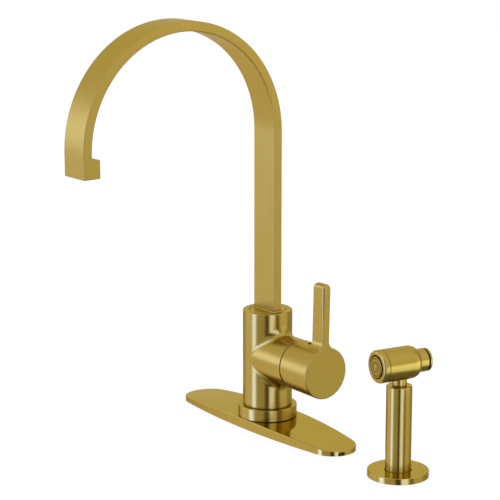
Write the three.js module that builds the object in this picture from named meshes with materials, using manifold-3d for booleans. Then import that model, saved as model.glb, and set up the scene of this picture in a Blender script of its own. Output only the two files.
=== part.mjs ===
// Kitchen faucet with a strap spout, a side lever and a separate side sprayer.
//
// Millimetres, +Z up. The origin lies on the sink deck, under the axis of the faucet's body.
// +X points to the handle and the sprayer, -Y to the person at the sink, where the spout reaches.

import * as THREE from 'three';
import { mergeVertices } from 'three/addons/utils/BufferGeometryUtils.js';
import Module from 'manifold-3d';

const wasm = await Module();
wasm.setup();

// ---------------------------------------------------------------------------------------------
// Driving dimensions
// ---------------------------------------------------------------------------------------------

const clearance = 0.3; // standing gap between pieces that seat on each other
const edgeBreak = 0.6; // small chamfer on exposed edges
const past = 1; // how far a cutting tool runs past the metal that it cuts
const overlap = 1; // how far two forms run into each other before they are joined

// Sink deck that the faucet is clamped to
const deckThickness = 20;

// Deck plate: a crowned cover, thickest in the middle
const plateHalfLength = 129;
const plateHalfWidth = 31;
const plateEndRadius = 23.5;
const plateHeight = 10.3;
const plateCrown = 5.8;
const plateWall = 2.2;
const plateSolidEnd = 14;
const gasketThickness = 2;
const gasketBand = 7;
const underPlateSkin = 0.6;

// Base ring between the plate and the body
const ringRadius = 30.5;
const ringHeight = 12;

// Body and its side barrel
const bodyRadius = 25.5;
const bodyHeight = 100.4;
const spigotRadius = 19.5;
const barrelRadius = 25.3;
const barrelReach = 51;
const barrelHeight = 75.5;
const barrelFillet = 9;

// Mounting hardware under the deck
const shankRadius = 14;
const shankWall = 2.8;
const shankInBody = 16;
const waterwayRadius = 2.4;
const shankBelowDeck = 40;
const washerRadius = 24;
const rubberWasherThickness = 3;
const metalWasherThickness = 2;
const nutFlats = 42;
const nutHeight = 9;
const plugFlange = 3;
const plugDepth = 10;
const nippleRadius = 3.4;
const nippleLength = 15;
const nippleStep = 0.6; // how much thinner its spigot is than its thread
const nippleHexRadius = 4.6;
const nippleHexHeight = 4;
const nippleCircle = 6.6;

// Spout: a flat hollow strap on a round collar that swivels in the body's top
const strapWidth = 33.7;
const strapThickness = 9.8;
const strapWall = 2;
const strapEdge = 0.9;
const archRadius = 113.2; // to the middle of the strap
const springLine = 309;
const tipDrop = 23;
const hookReach = 9;
const hookHeight = 18;
const collarRadius = 18.4;
const collarThickness = 5.5;
const pocketDepth = 2.5;
const stemRadius = 13;
const stemLength = 27;
const stemBore = 8;
const sealGroove = 1.9;
const sealSection = 0.9;
const screwGroove = 2;
const retainingScrewRadius = 2.5;
const retainingScrewRecess = 2;
const screwPointTaper = 1;
const screwSocketDepth = 3;

// Aerator in the hook
const aeratorRadius = 8;
const aeratorWall = 1.3;
const aeratorHeight = 9;
const aeratorRecess = 0.6;
const aeratorWasher = 1.4;
const aeratorEdge = 0.4;
const aeratorShelf = 1.5;
const aeratorShelfWidth = 1.2;
const insertInset = 1; // how far the insert sits up in the housing
const insertHoleRadius = 0.8;
const insertHoleCircle = 3.2;

// Mixing cartridge, along the barrel
const cartridgeBoreDepth = 31; // from the barrel's end to the bottom of its bore
const cartridgeRadius = 17.5;
const cartridgeWall = 2;
const portRadius = 2.8;
const portCircle = 7.5;
const portSealGap = 0.4; // how much wider the seal's ports are
const cartridgeLength = 24;
const cartridgeBoreRadius = 19;
const cartridgeSealThickness = 2;
const discRadius = 14.6;
const discThickness = 4;
const movingDiscRadius = 11.4;
const turretLength = 12;
const nutWall = 7.6;
const cartridgeNutLength = 6;
const pivotFromDisc = 7.8; // from the moving disc's outer face to the pivot of the stem
const pivotPinRadius = 1.5;
const stemSquare = 7;
const stemTipRadius = 2.6;
const stemTipDrop = 2; // how far the stem's round tip reaches into the moving disc

// Handle: hub and blade lever in one casting
const tiltRange = 15; // degrees that the handle tips outward
const seamWidth = 1.6;
const hubSeamRadius = 25.6;
const hubFaceRadius = 26.4;
const hubLength = 41.5;
const hubWall = 4.6;
const hubEndWall = 8;
const bossRadius = 8;
const bossStandoff = 6;
const socketDepth = 15;
const leverDepth = 17;
const leverThickness = 8.7;
const leverTop = 91.5; // above the barrel's axis
const leverLean = 1.6; // degrees outward
const leverFillet = 9;
const leverCorner = 3.4;
const leverEdge = 0.9;
const setScrewOffset = 17.3; // from the seam
const setScrewRadius = 2.7;
const setScrewRecess = 2;
const setScrewWall = 2.6;
const setScrewSocket = 4;

// Side sprayer: its holder in the deck
const sprayerSpacing = 203.2; // two steps of 101.6 mm between holes
const flangeRadius = 29.8;
const flangeHeight = 6.2;
const flangeLip = 2.6;
const holderRadius = 17;
const holderWall = 2;
const holderBelowDeck = 36;
const linerWall = 1.8;
const linerLipWidth = 4;
const linerLip = 3;
const shelfWidth = 1;
const holderWasherRadius = 25;
const holderNutFlats = 46;

// Side sprayer: grip and hose coupling
const gripRadius = 12.5;
const gripTop = 90;
const gripBelowDeck = 30.7;
const gripWall = 3;
const gripEnd = 12;
const gripEdge = 0.8;
const couplingNeck = 5.4;
const couplingFlange = 8;
const couplingRadius = 7.5;
const couplingLength = 21;
const couplingTaper = 6;
const couplingNeckIn = 1.5;
const couplingFlangeThickness = 2;
const hoseNippleRadius = 3.5;
const hoseNippleLength = 13;

// Side sprayer: neck and head, turned a little about the grip's axis
const headHeight = 111.4;
const headYaw = -9; // degrees
const neckRadius = 7;
const neckSpigot = 4.8;
const neckBore = 2.4;
const neckInGrip = 11;
const headRadius = 16;
const headFront = 26.4; // from the grip's axis to the front rim
const frontRingLength = 6.2;
const frontRingRound = 2.6;
const seamEdge = 0.4; // chamfer on both sides of the seam behind the front ring
const frontSkirtLength = 6;
const frontSkirtWall = 1;
const sprayOpening = 11.6;
const sprayLip = 3.2; // depth of the front ring's inner lip
const nozzleRadius = 10.1;
const nozzleFlangeWidth = 0.9; // how far the face's flange reaches behind the lip
const nozzleStand = 0.9; // how far the face stands out of the front ring
const nozzlePlate = 5.6;
const nozzleSkirt = 6.2;
const nozzleSkirtWall = 1.6;
const nozzlePinRadius = 0.6;
const nozzlePinHeight = 0.3;
const faceGrooveHalf = 0.8; // of the two grooves that the nozzles stand in
const faceGrooveDepth = 0.6;
const faceBossRadius = 2.2;
const faceBossHeight = 0.8;
const outerPins = 16;
const outerPinCircle = 8.4;
const innerPins = 8;
const innerPinCircle = 4.7;
const headBack = 8.4; // from the grip's axis to where the back shoulder starts
const shoulderLength = 8.9;
const rearNeckRadius = 11.3;
const rearNeckLength = 9.1;
const valveWeb = 2;
const valveHole = 4;
const webPlace = 9; // from the grip's axis forward to the web
const midChamber = 8;
const rodGuide = 2.5; // thickness of the wall that guides the valve rod

// Thumb button at the back of the head
const buttonRadius = 11.2;
const buttonThickness = 2.4;
const buttonRound = 0.9;
const buttonGap = 1.8;
const buttonTravel = 1.5;
const sleeveRadius = 9.6;
const sleeveWall = 2.6;
const sleeveLength = 11;
const sleeveRoofThickness = 3;
const plungerRadius = 2.2;
const valveSealRadius = 5.6;
const valveSealThickness = 1.5;
const rodDiscThickness = 1.6;
const rodDiscStep = 0.4;
const springWire = 0.5;
const springTurns = 5;
const springOffset = 1; // outward from midway between rod and sleeve

// ---------------------------------------------------------------------------------------------
// Finishes
// ---------------------------------------------------------------------------------------------

const finish = (name, color, roughness, metalness) => ({ name, color, roughness, metalness });
const brushedBrass = finish('brushed brass', 0xb29b4c, 0.32, 1);
const rawBrass = finish('raw brass', 0xb8923f, 0.45, 1);
const steel = finish('steel', 0xb4b6b8, 0.35, 1);
const rubber = finish('black rubber', 0x161616, 0.85, 0);
const foam = finish('foam gasket', 0x3a3a3a, 0.95, 0);
const blackPlastic = finish('black plastic', 0x1c1c1c, 0.6, 0);
const greyPlastic = finish('grey plastic', 0x8c8f91, 0.55, 0);
const ceramic = finish('ceramic', 0xece8de, 0.25, 0);

// ---------------------------------------------------------------------------------------------
// Geometry helpers
// ---------------------------------------------------------------------------------------------

const rad = THREE.MathUtils.degToRad;
const v2 = (x, y) => new THREE.Vector2(x, y);
const fine = 32; // segments round the large surfaces in view
const middling = 28; // segments round the smaller turned pieces in view
const plain = 20; // segments round everything else
const coarse = 12; // segments round small holes and pins

// Keeps positions only, welds shared corners and drops triangles that have collapsed.
function weld(geometry) {
  const bare = new THREE.BufferGeometry();
  bare.setAttribute('position', geometry.getAttribute('position').clone());
  if (geometry.index) bare.setIndex(geometry.index.clone());
  const merged = mergeVertices(bare, 1e-4);
  const index = merged.index.array;
  const kept = [];
  for (let i = 0; i < index.length; i += 3) {
    const [a, b, c] = [index[i], index[i + 1], index[i + 2]];
    if (a !== b && b !== c && c !== a) kept.push(a, b, c);
  }
  merged.setIndex(kept);
  return merged;
}

function signedVolume(geometry) {
  const p = geometry.getAttribute('position');
  const index = geometry.index.array;
  const [a, b, c] = [new THREE.Vector3(), new THREE.Vector3(), new THREE.Vector3()];
  let sum = 0;
  for (let i = 0; i < index.length; i += 3) {
    a.fromBufferAttribute(p, index[i]);
    b.fromBufferAttribute(p, index[i + 1]);
    c.fromBufferAttribute(p, index[i + 2]);
    sum += a.dot(b.cross(c));
  }
  return sum / 6;
}

// A welded closed body whose faces all point out.
function closed(geometry) {
  const body = weld(geometry);
  if (signedVolume(body) < 0) {
    const index = body.index.array;
    for (let i = 0; i < index.length; i += 3) {
      [index[i + 1], index[i + 2]] = [index[i + 2], index[i + 1]];
    }
  }
  return body;
}

function toSolid(geometry) {
  const body = closed(geometry);
  return new wasm.Manifold(new wasm.Mesh({
    numProp: 3,
    vertProperties: new Float32Array(body.getAttribute('position').array),
    triVerts: new Uint32Array(body.index.array),
  }));
}

function toGeometry(solid) {
  const mesh = solid.getMesh();
  const geometry = new THREE.BufferGeometry();
  geometry.setAttribute('position', new THREE.BufferAttribute(new Float32Array(mesh.vertProperties), 3));
  geometry.setIndex(new THREE.BufferAttribute(new Uint32Array(mesh.triVerts), 1));
  return geometry;
}

function join(first, ...others) {
  let solid = toSolid(first);
  for (const other of others) solid = solid.add(toSolid(other));
  return toGeometry(solid);
}

function cut(first, ...tools) {
  let solid = toSolid(first);
  for (const tool of tools) solid = solid.subtract(toSolid(tool));
  return toGeometry(solid);
}

// Revolves [radius, height] pairs about +Z. The profile starts and ends on the axis, or closes.
function revolve(profile, segments = plain) {
  const points = profile.map(([r, z]) => v2(Math.max(r, 0), z));
  const geometry = new THREE.LatheGeometry(points, segments);
  geometry.rotateX(Math.PI / 2);
  return closed(geometry);
}

// A plain disc or rod from z0 to z1.
const rod = (radius, z0, z1, segments = plain) =>
  revolve([[0, z0], [radius, z0], [radius, z1], [0, z1]], segments);

// A tube from z0 to z1.
const tube = (inner, outer, z0, z1, segments = plain) =>
  revolve([[inner, z0], [outer, z0], [outer, z1], [inner, z1], [inner, z0]], segments);

// A tube whose outer edge is chamfered at its top.
const ringWithBrokenEdge = (inner, outer, z0, z1, chamfer, segments = fine) => revolve([
  [inner, z0], [outer, z0], [outer, z1 - chamfer], [outer - chamfer, z1], [inner, z1], [inner, z0],
], segments);

// Points of an arc, both ends included, as [radius, height] pairs.
function arc(cx, cy, rx, ry, from, to, steps) {
  return Array.from({ length: steps + 1 }, (_, i) => {
    const t = rad(from + ((to - from) * i) / steps);
    return [cx + rx * Math.cos(t), cy + ry * Math.sin(t)];
  });
}

// A torus about +Z.
const oRing = (major, minor, z, segments = plain, sides = 6) =>
  revolve(arc(major, z, minor, minor, 0, 360, sides), segments);

// A rectangle centred on the origin with rounded corners.
function roundedRectangle(width, height, radius) {
  const [x, y] = [width / 2, height / 2];
  const shape = new THREE.Shape();
  shape.moveTo(-x + radius, -y);
  shape.lineTo(x - radius, -y);
  shape.absarc(x - radius, -y + radius, radius, -Math.PI / 2, 0, false);
  shape.lineTo(x, y - radius);
  shape.absarc(x - radius, y - radius, radius, 0, Math.PI / 2, false);
  shape.lineTo(-x + radius, y);
  shape.absarc(-x + radius, y - radius, radius, Math.PI / 2, Math.PI, false);
  shape.lineTo(-x, -y + radius);
  shape.absarc(-x + radius, -y + radius, radius, Math.PI, 1.5 * Math.PI, false);
  return shape;
}

// A prism of a shape in XY, from z0 to z1.
function prism(shape, z0, z1, curveSegments = 3) {
  const options = { depth: z1 - z0, bevelEnabled: false, curveSegments };
  const geometry = new THREE.ExtrudeGeometry(shape, options);
  geometry.translate(0, 0, z0);
  return closed(geometry);
}

// A regular polygon's prism, given its size across flats.
function hexPrism(flats, z0, z1, sides = 6) {
  const corner = flats / 2 / Math.cos(Math.PI / sides);
  const shape = new THREE.Shape();
  for (let i = 0; i < sides; i += 1) {
    const t = ((i + 0.5) * 2 * Math.PI) / sides;
    shape[i ? 'lineTo' : 'moveTo'](corner * Math.cos(t), corner * Math.sin(t));
  }
  return prism(shape, z0, z1);
}

const moved = (geometry, x, y, z) => geometry.clone().translate(x, y, z);

// Turns a body that stands on +Z so that it lies along +X, or along +Y.
const alongX = (geometry) => geometry.clone().rotateY(Math.PI / 2);
const alongY = (geometry) => geometry.clone().rotateX(-Math.PI / 2);

// Joins rings of equal length into a closed tube of quads. A loop of rings closes on itself.
function skin(rings, loop = false) {
  const count = rings[0].length;
  const position = rings.flat().flatMap((p) => [p.x, p.y, p.z]);
  const index = [];
  const last = loop ? rings.length : rings.length - 1;
  for (let i = 0; i < last; i += 1) {
    const j = (i + 1) % rings.length;
    for (let k = 0; k < count; k += 1) {
      const l = (k + 1) % count;
      index.push(i * count + k, j * count + k, j * count + l);
      index.push(i * count + k, j * count + l, i * count + l);
    }
  }
  if (!loop) {
    const end = (rings.length - 1) * count;
    for (let k = 1; k < count - 1; k += 1) {
      index.push(0, k, k + 1);
      index.push(end, end + k + 1, end + k);
    }
  }
  const geometry = new THREE.BufferGeometry();
  geometry.setAttribute('position', new THREE.Float32BufferAttribute(position, 3));
  geometry.setIndex(index);
  return closed(geometry);
}

// ---------------------------------------------------------------------------------------------
// The assembly
// ---------------------------------------------------------------------------------------------

const faucet = new THREE.Group();

function place(parent, name, geometry, look) {
  const material = new THREE.MeshStandardMaterial(look);
  const shown = geometry.index ? geometry.toNonIndexed() : geometry;
  shown.computeVertexNormals();
  const mesh = new THREE.Mesh(shown, material);
  mesh.name = name;
  parent.add(mesh);
  return mesh;
}

// ---------------------------------------------------------------------------------------------
// Deck plate
// ---------------------------------------------------------------------------------------------

const plateTopAt = (x) => plateHeight - plateCrown * (x / plateHalfLength) ** 2;

// Half outline of the plate, from its +X end to its -X end: an end arc, a long side arc that
// meets it smoothly, and the other end arc.
function plateOutline(halfLength, halfWidth, endRadius, endSteps, sideSteps) {
  const endCentre = halfLength - endRadius;
  const sideRadius = (endCentre ** 2 + halfWidth ** 2 - endRadius ** 2)
    / (2 * (halfWidth - endRadius));
  const sideCentre = halfWidth - sideRadius;
  const meet = Math.atan2(-sideCentre, endCentre);
  const start = 0.02;
  const points = [];
  for (let i = 0; i <= endSteps; i += 1) {
    const t = start + ((meet - start) * i) / endSteps;
    points.push(v2(endCentre + endRadius * Math.cos(t), endRadius * Math.sin(t)));
  }
  for (let i = 1; i < sideSteps; i += 1) {
    const t = meet + ((Math.PI - 2 * meet) * i) / sideSteps;
    points.push(v2(sideRadius * Math.cos(t), sideCentre + sideRadius * Math.sin(t)));
  }
  for (let i = endSteps; i >= 0; i -= 1) points.push(v2(-points[i].x, points[i].y));
  return points;
}

// A slab over the plate's outline. Its top may be crowned and have a chamfered edge.
function plateSlab(halfLength, halfWidth, endRadius, low, topAt, chamfer = 0) {
  const steps = chamfer ? [8, 18] : [5, 10];
  const outer = plateOutline(halfLength, halfWidth, endRadius, ...steps);
  const inner = plateOutline(
    halfLength - chamfer, halfWidth - chamfer, endRadius - chamfer, ...steps,
  );
  const rings = outer.map((p, i) => {
    const q = chamfer ? inner[i] : p;
    const top = topAt(q.x);
    const wall = top - chamfer;
    const side = [new THREE.Vector3(p.x, p.y, low), new THREE.Vector3(p.x, p.y, wall)];
    if (chamfer) side.push(new THREE.Vector3(q.x, q.y, top));
    const mirrored = side.map((s) => new THREE.Vector3(s.x, -s.y, s.z)).reverse();
    return [...side, ...mirrored];
  });
  return skin(rings);
}

const cavityHalfLength = plateHalfLength - plateSolidEnd;
const cavityHalfWidth = plateHalfWidth - plateWall;
const cavityEndRadius = plateEndRadius - plateWall;
const underPlateLow = gasketThickness + clearance;
const underPlateTopAt = (x) =>
  Math.max(plateTopAt(x) - plateWall - clearance, underPlateLow + underPlateSkin);
const spigotHole = spigotRadius + clearance;

const plateHole = rod(shankRadius + clearance, -past, plateHeight + past);
place(faucet, 'deck_plate', cut(
  plateSlab(plateHalfLength, plateHalfWidth, plateEndRadius, 0, plateTopAt, edgeBreak),
  plateSlab(cavityHalfLength, cavityHalfWidth, cavityEndRadius, -past,
    (x) => underPlateTopAt(x) + clearance),
  plateHole,
), brushedBrass);

const insetSlab = (inset, low, topAt) => plateSlab(cavityHalfLength - inset,
  cavityHalfWidth - inset, cavityEndRadius - inset, low, topAt);
place(faucet, 'deck_under_plate', cut(
  insetSlab(clearance, underPlateLow, underPlateTopAt),
  plateHole,
), greyPlastic);

place(faucet, 'deck_gasket', cut(
  insetSlab(clearance, 0, () => gasketThickness),
  insetSlab(clearance + gasketBand, -past, () => gasketThickness + past),
), foam);

// ---------------------------------------------------------------------------------------------
// Base ring, body and mounting shank
// ---------------------------------------------------------------------------------------------

const ringBottom = plateHeight + clearance;
const ringTop = ringBottom + ringHeight;
const bodyBottom = ringTop + clearance;
const bodyTop = bodyBottom + bodyHeight;

place(faucet, 'base_ring',
  ringWithBrokenEdge(spigotHole, ringRadius, ringBottom, ringTop, edgeBreak), brushedBrass);

// The rolling-ball fillet round the foot of the side barrel. A ball of the fillet's radius
// touches both cylinders; each section is the arc between its two points of contact, backed by
// one point inside the metal.
function barrelBlend(steps = 32, arcSteps = 3) {
  const reach = bodyRadius + barrelFillet;
  const lift = barrelRadius + barrelFillet;
  const rings = [];
  for (let i = 0; i < steps; i += 1) {
    const t = (i * 2 * Math.PI) / steps;
    const y = lift * Math.cos(t);
    const z = lift * Math.sin(t);
    const x = Math.sqrt(Math.max(reach ** 2 - y ** 2, 0));
    const ball = new THREE.Vector3(x, y, z);
    const toBody = new THREE.Vector3(-x, -y, 0).setLength(barrelFillet);
    const toBarrel = new THREE.Vector3(0, -y, -z).setLength(barrelFillet);
    const ring = [];
    for (let k = 0; k <= arcSteps; k += 1) {
      const ray = toBody.clone().lerp(toBarrel, k / arcSteps).setLength(barrelFillet);
      ring.push(ball.clone().add(ray));
    }
    ring.push(ball.clone().addScaledVector(toBarrel, 1.3).addScaledVector(toBody, 1.3));
    rings.push(ring);
  }
  return skin(rings, true).translate(0, 0, barrelHeight);
}

const cartridgeFloor = barrelReach - cartridgeBoreDepth;
const collarSeat = bodyTop - collarThickness;
const stemBottom = collarSeat - stemLength;
const stemHole = stemRadius + clearance;
const shankTop = bodyBottom + shankInBody;
const shankBore = shankRadius - shankWall;
const screwHeight = collarSeat - 0.72 * stemLength;

// Bores that lead hot and cold water up from the shank to the cartridge's two upper ports, and
// mixed water from its lower port to the spout's stem.
const portDrop = portCircle;
const portRise = portCircle * Math.sin(rad(30));
const portSide = portCircle * Math.cos(rad(30));
const supplyPlace = Math.sqrt((shankBore - waterwayRadius - clearance) ** 2 - portSide ** 2);
const mixedPlace = waterwayRadius + clearance - stemBore;
const riser = (x, y, from, to) => moved(rod(waterwayRadius, from, to, coarse), x, y, 0);
const gallery = (y, z, from) =>
  moved(alongX(rod(waterwayRadius, from, cartridgeFloor + past, coarse)), 0, y, z);
const waterways = [
  ...[portSide, -portSide].flatMap((y) => [
    riser(supplyPlace, y, shankTop, barrelHeight + portRise),
    gallery(y, barrelHeight + portRise, supplyPlace),
  ]),
  riser(mixedPlace, 0, barrelHeight - portDrop, stemBottom),
  gallery(0, barrelHeight - portDrop, mixedPlace),
];

const bodyOutside = join(
  revolve([
    [0, ringBottom], [spigotRadius, ringBottom], [spigotRadius, bodyBottom],
    [bodyRadius, bodyBottom], [bodyRadius, bodyTop - edgeBreak],
    [bodyRadius - edgeBreak, bodyTop], [0, bodyTop],
  ], fine),
  moved(alongX(revolve([
    [0, 0], [barrelRadius, 0], [barrelRadius, barrelReach - edgeBreak],
    [barrelRadius - edgeBreak, barrelReach], [0, barrelReach],
  ], fine)), 0, 0, barrelHeight),
  barrelBlend(),
);
place(faucet, 'valve_body', cut(
  bodyOutside,
  rod(collarRadius + clearance, collarSeat - clearance, bodyTop + past, fine),
  rod(stemHole, stemBottom - clearance, bodyTop + past),
  rod(shankRadius + clearance, ringBottom - past, shankTop + clearance),
  moved(alongX(rod(cartridgeBoreRadius, cartridgeFloor, barrelReach + past)), 0, 0, barrelHeight),
  moved(alongY(rod(retainingScrewRadius + clearance, stemRadius, bodyRadius + past, coarse)),
    0, 0, screwHeight),
  ...waterways,
), brushedBrass);

const shankBottom = -deckThickness - shankBelowDeck;
place(faucet, 'mounting_shank', tube(shankBore, shankRadius, shankBottom, shankTop), rawBrass);

const washerHole = shankRadius + clearance;
const rubberWasherLow = -deckThickness - rubberWasherThickness;
const metalWasherTop = rubberWasherLow - clearance;
const metalWasherLow = metalWasherTop - metalWasherThickness;
const nutTop = metalWasherLow - clearance;
place(faucet, 'rubber_washer',
  tube(washerHole, washerRadius, rubberWasherLow, -deckThickness), rubber);
place(faucet, 'metal_washer',
  tube(washerHole, washerRadius, metalWasherLow, metalWasherTop), steel);
place(faucet, 'mounting_nut', cut(
  hexPrism(nutFlats, nutTop - nutHeight, nutTop),
  rod(washerHole, nutTop - nutHeight - past, nutTop + past),
), rawBrass);

// End plug of the shank, and the nipples that the supply and sprayer hoses screw on to
const plugTop = shankBottom - clearance;
const plugLow = plugTop - plugFlange;
const nippleHole = nippleRadius - nippleStep;
const nipples = [['cold_supply_nipple', 90], ['hot_supply_nipple', 210], ['sprayer_nipple', 330]];
const onCircle = (geometry, radius, degrees) =>
  moved(geometry, radius * Math.cos(rad(degrees)), radius * Math.sin(rad(degrees)), 0);
place(faucet, 'shank_plug', cut(
  revolve([
    [0, plugLow], [shankRadius, plugLow], [shankRadius, plugTop],
    [shankBore - clearance, plugTop], [shankBore - clearance, plugTop + plugDepth],
    [0, plugTop + plugDepth],
  ]),
  ...nipples.map(([, degrees]) =>
    onCircle(rod(nippleHole, plugLow - past, plugTop + plugDepth + past, coarse), nippleCircle, degrees)),
), blackPlastic);

const nippleTop = plugLow - clearance;
const nippleHexLow = nippleTop - nippleHexHeight;
for (const [name, degrees] of nipples) {
  const hex = hexPrism(2 * nippleHexRadius * Math.cos(Math.PI / 6), nippleHexLow, nippleTop);
  const spigot = rod(nippleHole - clearance, nippleHexLow + overlap, plugTop + plugDepth, coarse);
  const thread = rod(nippleRadius, nippleHexLow - nippleLength, nippleHexLow + overlap, coarse);
  const bore = rod(nippleRadius / 3, nippleHexLow - nippleLength - past, plugTop + plugDepth + past, 6);
  place(faucet, name, onCircle(cut(join(hex, spigot, thread), bore), nippleCircle, degrees), rawBrass);
}

// ---------------------------------------------------------------------------------------------
// Spout: collar, strap, seals and outlet
// ---------------------------------------------------------------------------------------------

const sealHeights = [collarSeat - 0.2 * stemLength, collarSeat - 0.45 * stemLength];
const grooveHalf = sealSection + clearance;
const grooveFloor = stemRadius - sealGroove;

// Stem outline from the collar down, with the two seal grooves and the screw's groove.
function stemProfile() {
  const profile = [[stemBore, bodyTop], [collarRadius, bodyTop], [collarRadius, collarSeat]];
  profile.push([stemRadius, collarSeat]);
  const screwHalf = retainingScrewRadius + clearance;
  const grooves = [
    ...sealHeights.map((z) => [z, grooveHalf, grooveFloor]),
    [screwHeight, screwHalf, stemRadius - screwGroove],
  ];
  for (const [z, half, floor] of grooves) {
    profile.push([stemRadius, z + half], [floor, z + half], [floor, z - half], [stemRadius, z - half]);
  }
  profile.push([stemRadius, stemBottom], [stemBore, stemBottom], [stemBore, bodyTop]);
  return profile;
}

const pocketShape = roundedRectangle(
  strapWidth + 2 * clearance, strapThickness + 2 * clearance, strapEdge + clearance,
);
place(faucet, 'spout_collar', cut(
  revolve(stemProfile(), middling),
  prism(pocketShape, bodyTop - pocketDepth, bodyTop + past),
), brushedBrass);

const sealMajor = grooveFloor + clearance / 2 + sealSection;
place(faucet, 'upper_spout_seal', oRing(sealMajor, sealSection, sealHeights[0]), rubber);
place(faucet, 'lower_spout_seal', oRing(sealMajor, sealSection, sealHeights[1]), rubber);

const screwTip = stemRadius - screwGroove + clearance;
const screwStart = stemHole + screwPointTaper;
const screwPoint = retainingScrewRadius * 0.6;
const screwHead = bodyRadius - retainingScrewRecess;
const screwBlank = revolve([
  [0, screwTip], [screwPoint, screwTip], [screwPoint, screwStart],
  [retainingScrewRadius, screwStart + screwPointTaper], [retainingScrewRadius, screwHead],
  [0, screwHead],
], coarse);
place(faucet, 'spout_retaining_screw', moved(alongY(cut(
  screwBlank,
  hexPrism(retainingScrewRadius, screwHead - screwSocketDepth, screwHead + past),
)), 0, 0, screwHeight), steel);

// The strap's middle line: up the column, over the half circle and down to the outlet.
class StrapLine extends THREE.Curve {
  constructor(start, end) {
    super();
    this.rise = springLine - start;
    this.turn = Math.PI * archRadius;
    this.drop = springLine - end;
  }

  getPoint(t, target = new THREE.Vector3()) {
    const s = t * (this.rise + this.turn + this.drop);
    if (s < this.rise) return target.set(0, 0, springLine - this.rise + s);
    if (s < this.rise + this.turn) {
      const angle = (s - this.rise) / archRadius;
      const y = -archRadius * (1 - Math.cos(angle));
      return target.set(0, y, springLine + archRadius * Math.sin(angle));
    }
    return target.set(0, -2 * archRadius, springLine - (s - this.rise - this.turn));
  }
}

// Sweeps a rectangle with broken corners along the strap's line. Straight stretches get one
// step each.
function strapSweep(width, thickness, edge, start, end, archSteps = 32) {
  const line = new StrapLine(start, end);
  const total = line.rise + line.turn + line.drop;
  const stops = [0];
  for (let i = 0; i <= archSteps; i += 1) {
    stops.push((line.rise + (line.turn * i) / archSteps) / total);
  }
  stops.push(1);
  const [x, y] = [width / 2, thickness / 2];
  const quarter = edge ? [v2(x, y - edge), v2(x - edge, y)] : [v2(x, y)];
  const half = [...quarter, ...quarter.map((p) => v2(-p.x, p.y)).reverse()];
  const outline = [...half, ...half.map((p) => v2(-p.x, -p.y))];
  const rings = stops.map((t) => {
    const centre = line.getPoint(t);
    const s = t * total;
    const angle = Math.min(Math.max((s - line.rise) / archRadius, 0), Math.PI);
    const out = new THREE.Vector3(0, Math.cos(angle), Math.sin(angle));
    return outline.map((p) => centre.clone().addScaledVector(out, p.y).setX(p.x));
  });
  return skin(rings);
}

const strapBottom = bodyTop - pocketDepth + clearance;
const tipLow = springLine - tipDrop;
const hookTop = tipLow + hookHeight;
const tipCentre = -2 * archRadius;
const hookDepth = strapThickness + hookReach;
const outletCentre = tipCentre - strapThickness / 2 + hookDepth / 2;
const hookBlock = moved(
  prism(roundedRectangle(strapWidth, hookDepth, strapEdge), tipLow, hookTop, 2),
  0, outletCentre, 0,
);
const aeratorTop = tipLow + aeratorRecess + aeratorHeight;
const washerTop = aeratorTop + clearance + aeratorWasher;
place(faucet, 'spout', cut(
  join(strapSweep(strapWidth, strapThickness, strapEdge, strapBottom, tipLow), hookBlock),
  strapSweep(strapWidth - 2 * strapWall, strapThickness - 2 * strapWall, 0,
    strapBottom - past, washerTop),
  moved(rod(aeratorRadius + clearance, tipLow - past, washerTop + clearance), 0, outletCentre, 0),
), brushedBrass);

const aeratorLow = tipLow + aeratorRecess;
const aeratorBore = aeratorRadius - aeratorWall;
const aeratorThroat = aeratorBore - aeratorShelfWidth;
place(faucet, 'aerator_housing', moved(revolve([
  [aeratorBore, aeratorLow], [aeratorRadius - aeratorEdge, aeratorLow],
  [aeratorRadius, aeratorLow + aeratorEdge], [aeratorRadius, aeratorTop],
  [aeratorThroat, aeratorTop], [aeratorThroat, aeratorTop - aeratorShelf],
  [aeratorBore, aeratorTop - aeratorShelf], [aeratorBore, aeratorLow],
]), 0, outletCentre, 0), brushedBrass);

// The insert that mixes in air: a disc with a ring of round holes about one in the middle.
const insertRadius = aeratorBore - clearance;
const insertLow = aeratorLow + insertInset;
const insertTop = aeratorTop - aeratorShelf - clearance;
const insertHoles = [[0, 1], [insertHoleCircle, 8]];
const insertBores = insertHoles.flatMap(([radius, count]) => Array.from({ length: count }, (_, i) =>
  onCircle(rod(insertHoleRadius, insertLow - past, insertTop + past, 6), radius, (360 * i) / count)));
place(faucet, 'aerator_insert',
  moved(cut(rod(insertRadius, insertLow, insertTop), ...insertBores), 0, outletCentre, 0),
  blackPlastic);
place(faucet, 'aerator_washer', moved(
  tube(aeratorThroat, aeratorRadius - clearance, aeratorTop + clearance, washerTop),
  0, outletCentre, 0,
), rubber);

// ---------------------------------------------------------------------------------------------
// Mixing cartridge. In this frame +Z runs out along the barrel and -X is up.
// ---------------------------------------------------------------------------------------------

const barrel = new THREE.Group();
barrel.position.set(0, 0, barrelHeight);
barrel.rotation.y = Math.PI / 2;
faucet.add(barrel);

const baseSealLow = cartridgeFloor + clearance;
const housingLow = baseSealLow + cartridgeSealThickness + clearance;
const housingFloor = housingLow + cartridgeWall;
const housingTop = housingLow + cartridgeLength;
const fixedDiscLow = housingFloor + clearance;
const fixedDiscTop = fixedDiscLow + discThickness;
const movingDiscLow = fixedDiscTop + clearance;
const movingDiscTop = movingDiscLow + discThickness;
const housingBore = cartridgeRadius - cartridgeWall;
const turretLow = movingDiscTop + clearance;
const turretTop = turretLow + turretLength;
const pivot = movingDiscTop + pivotFromDisc;

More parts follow.
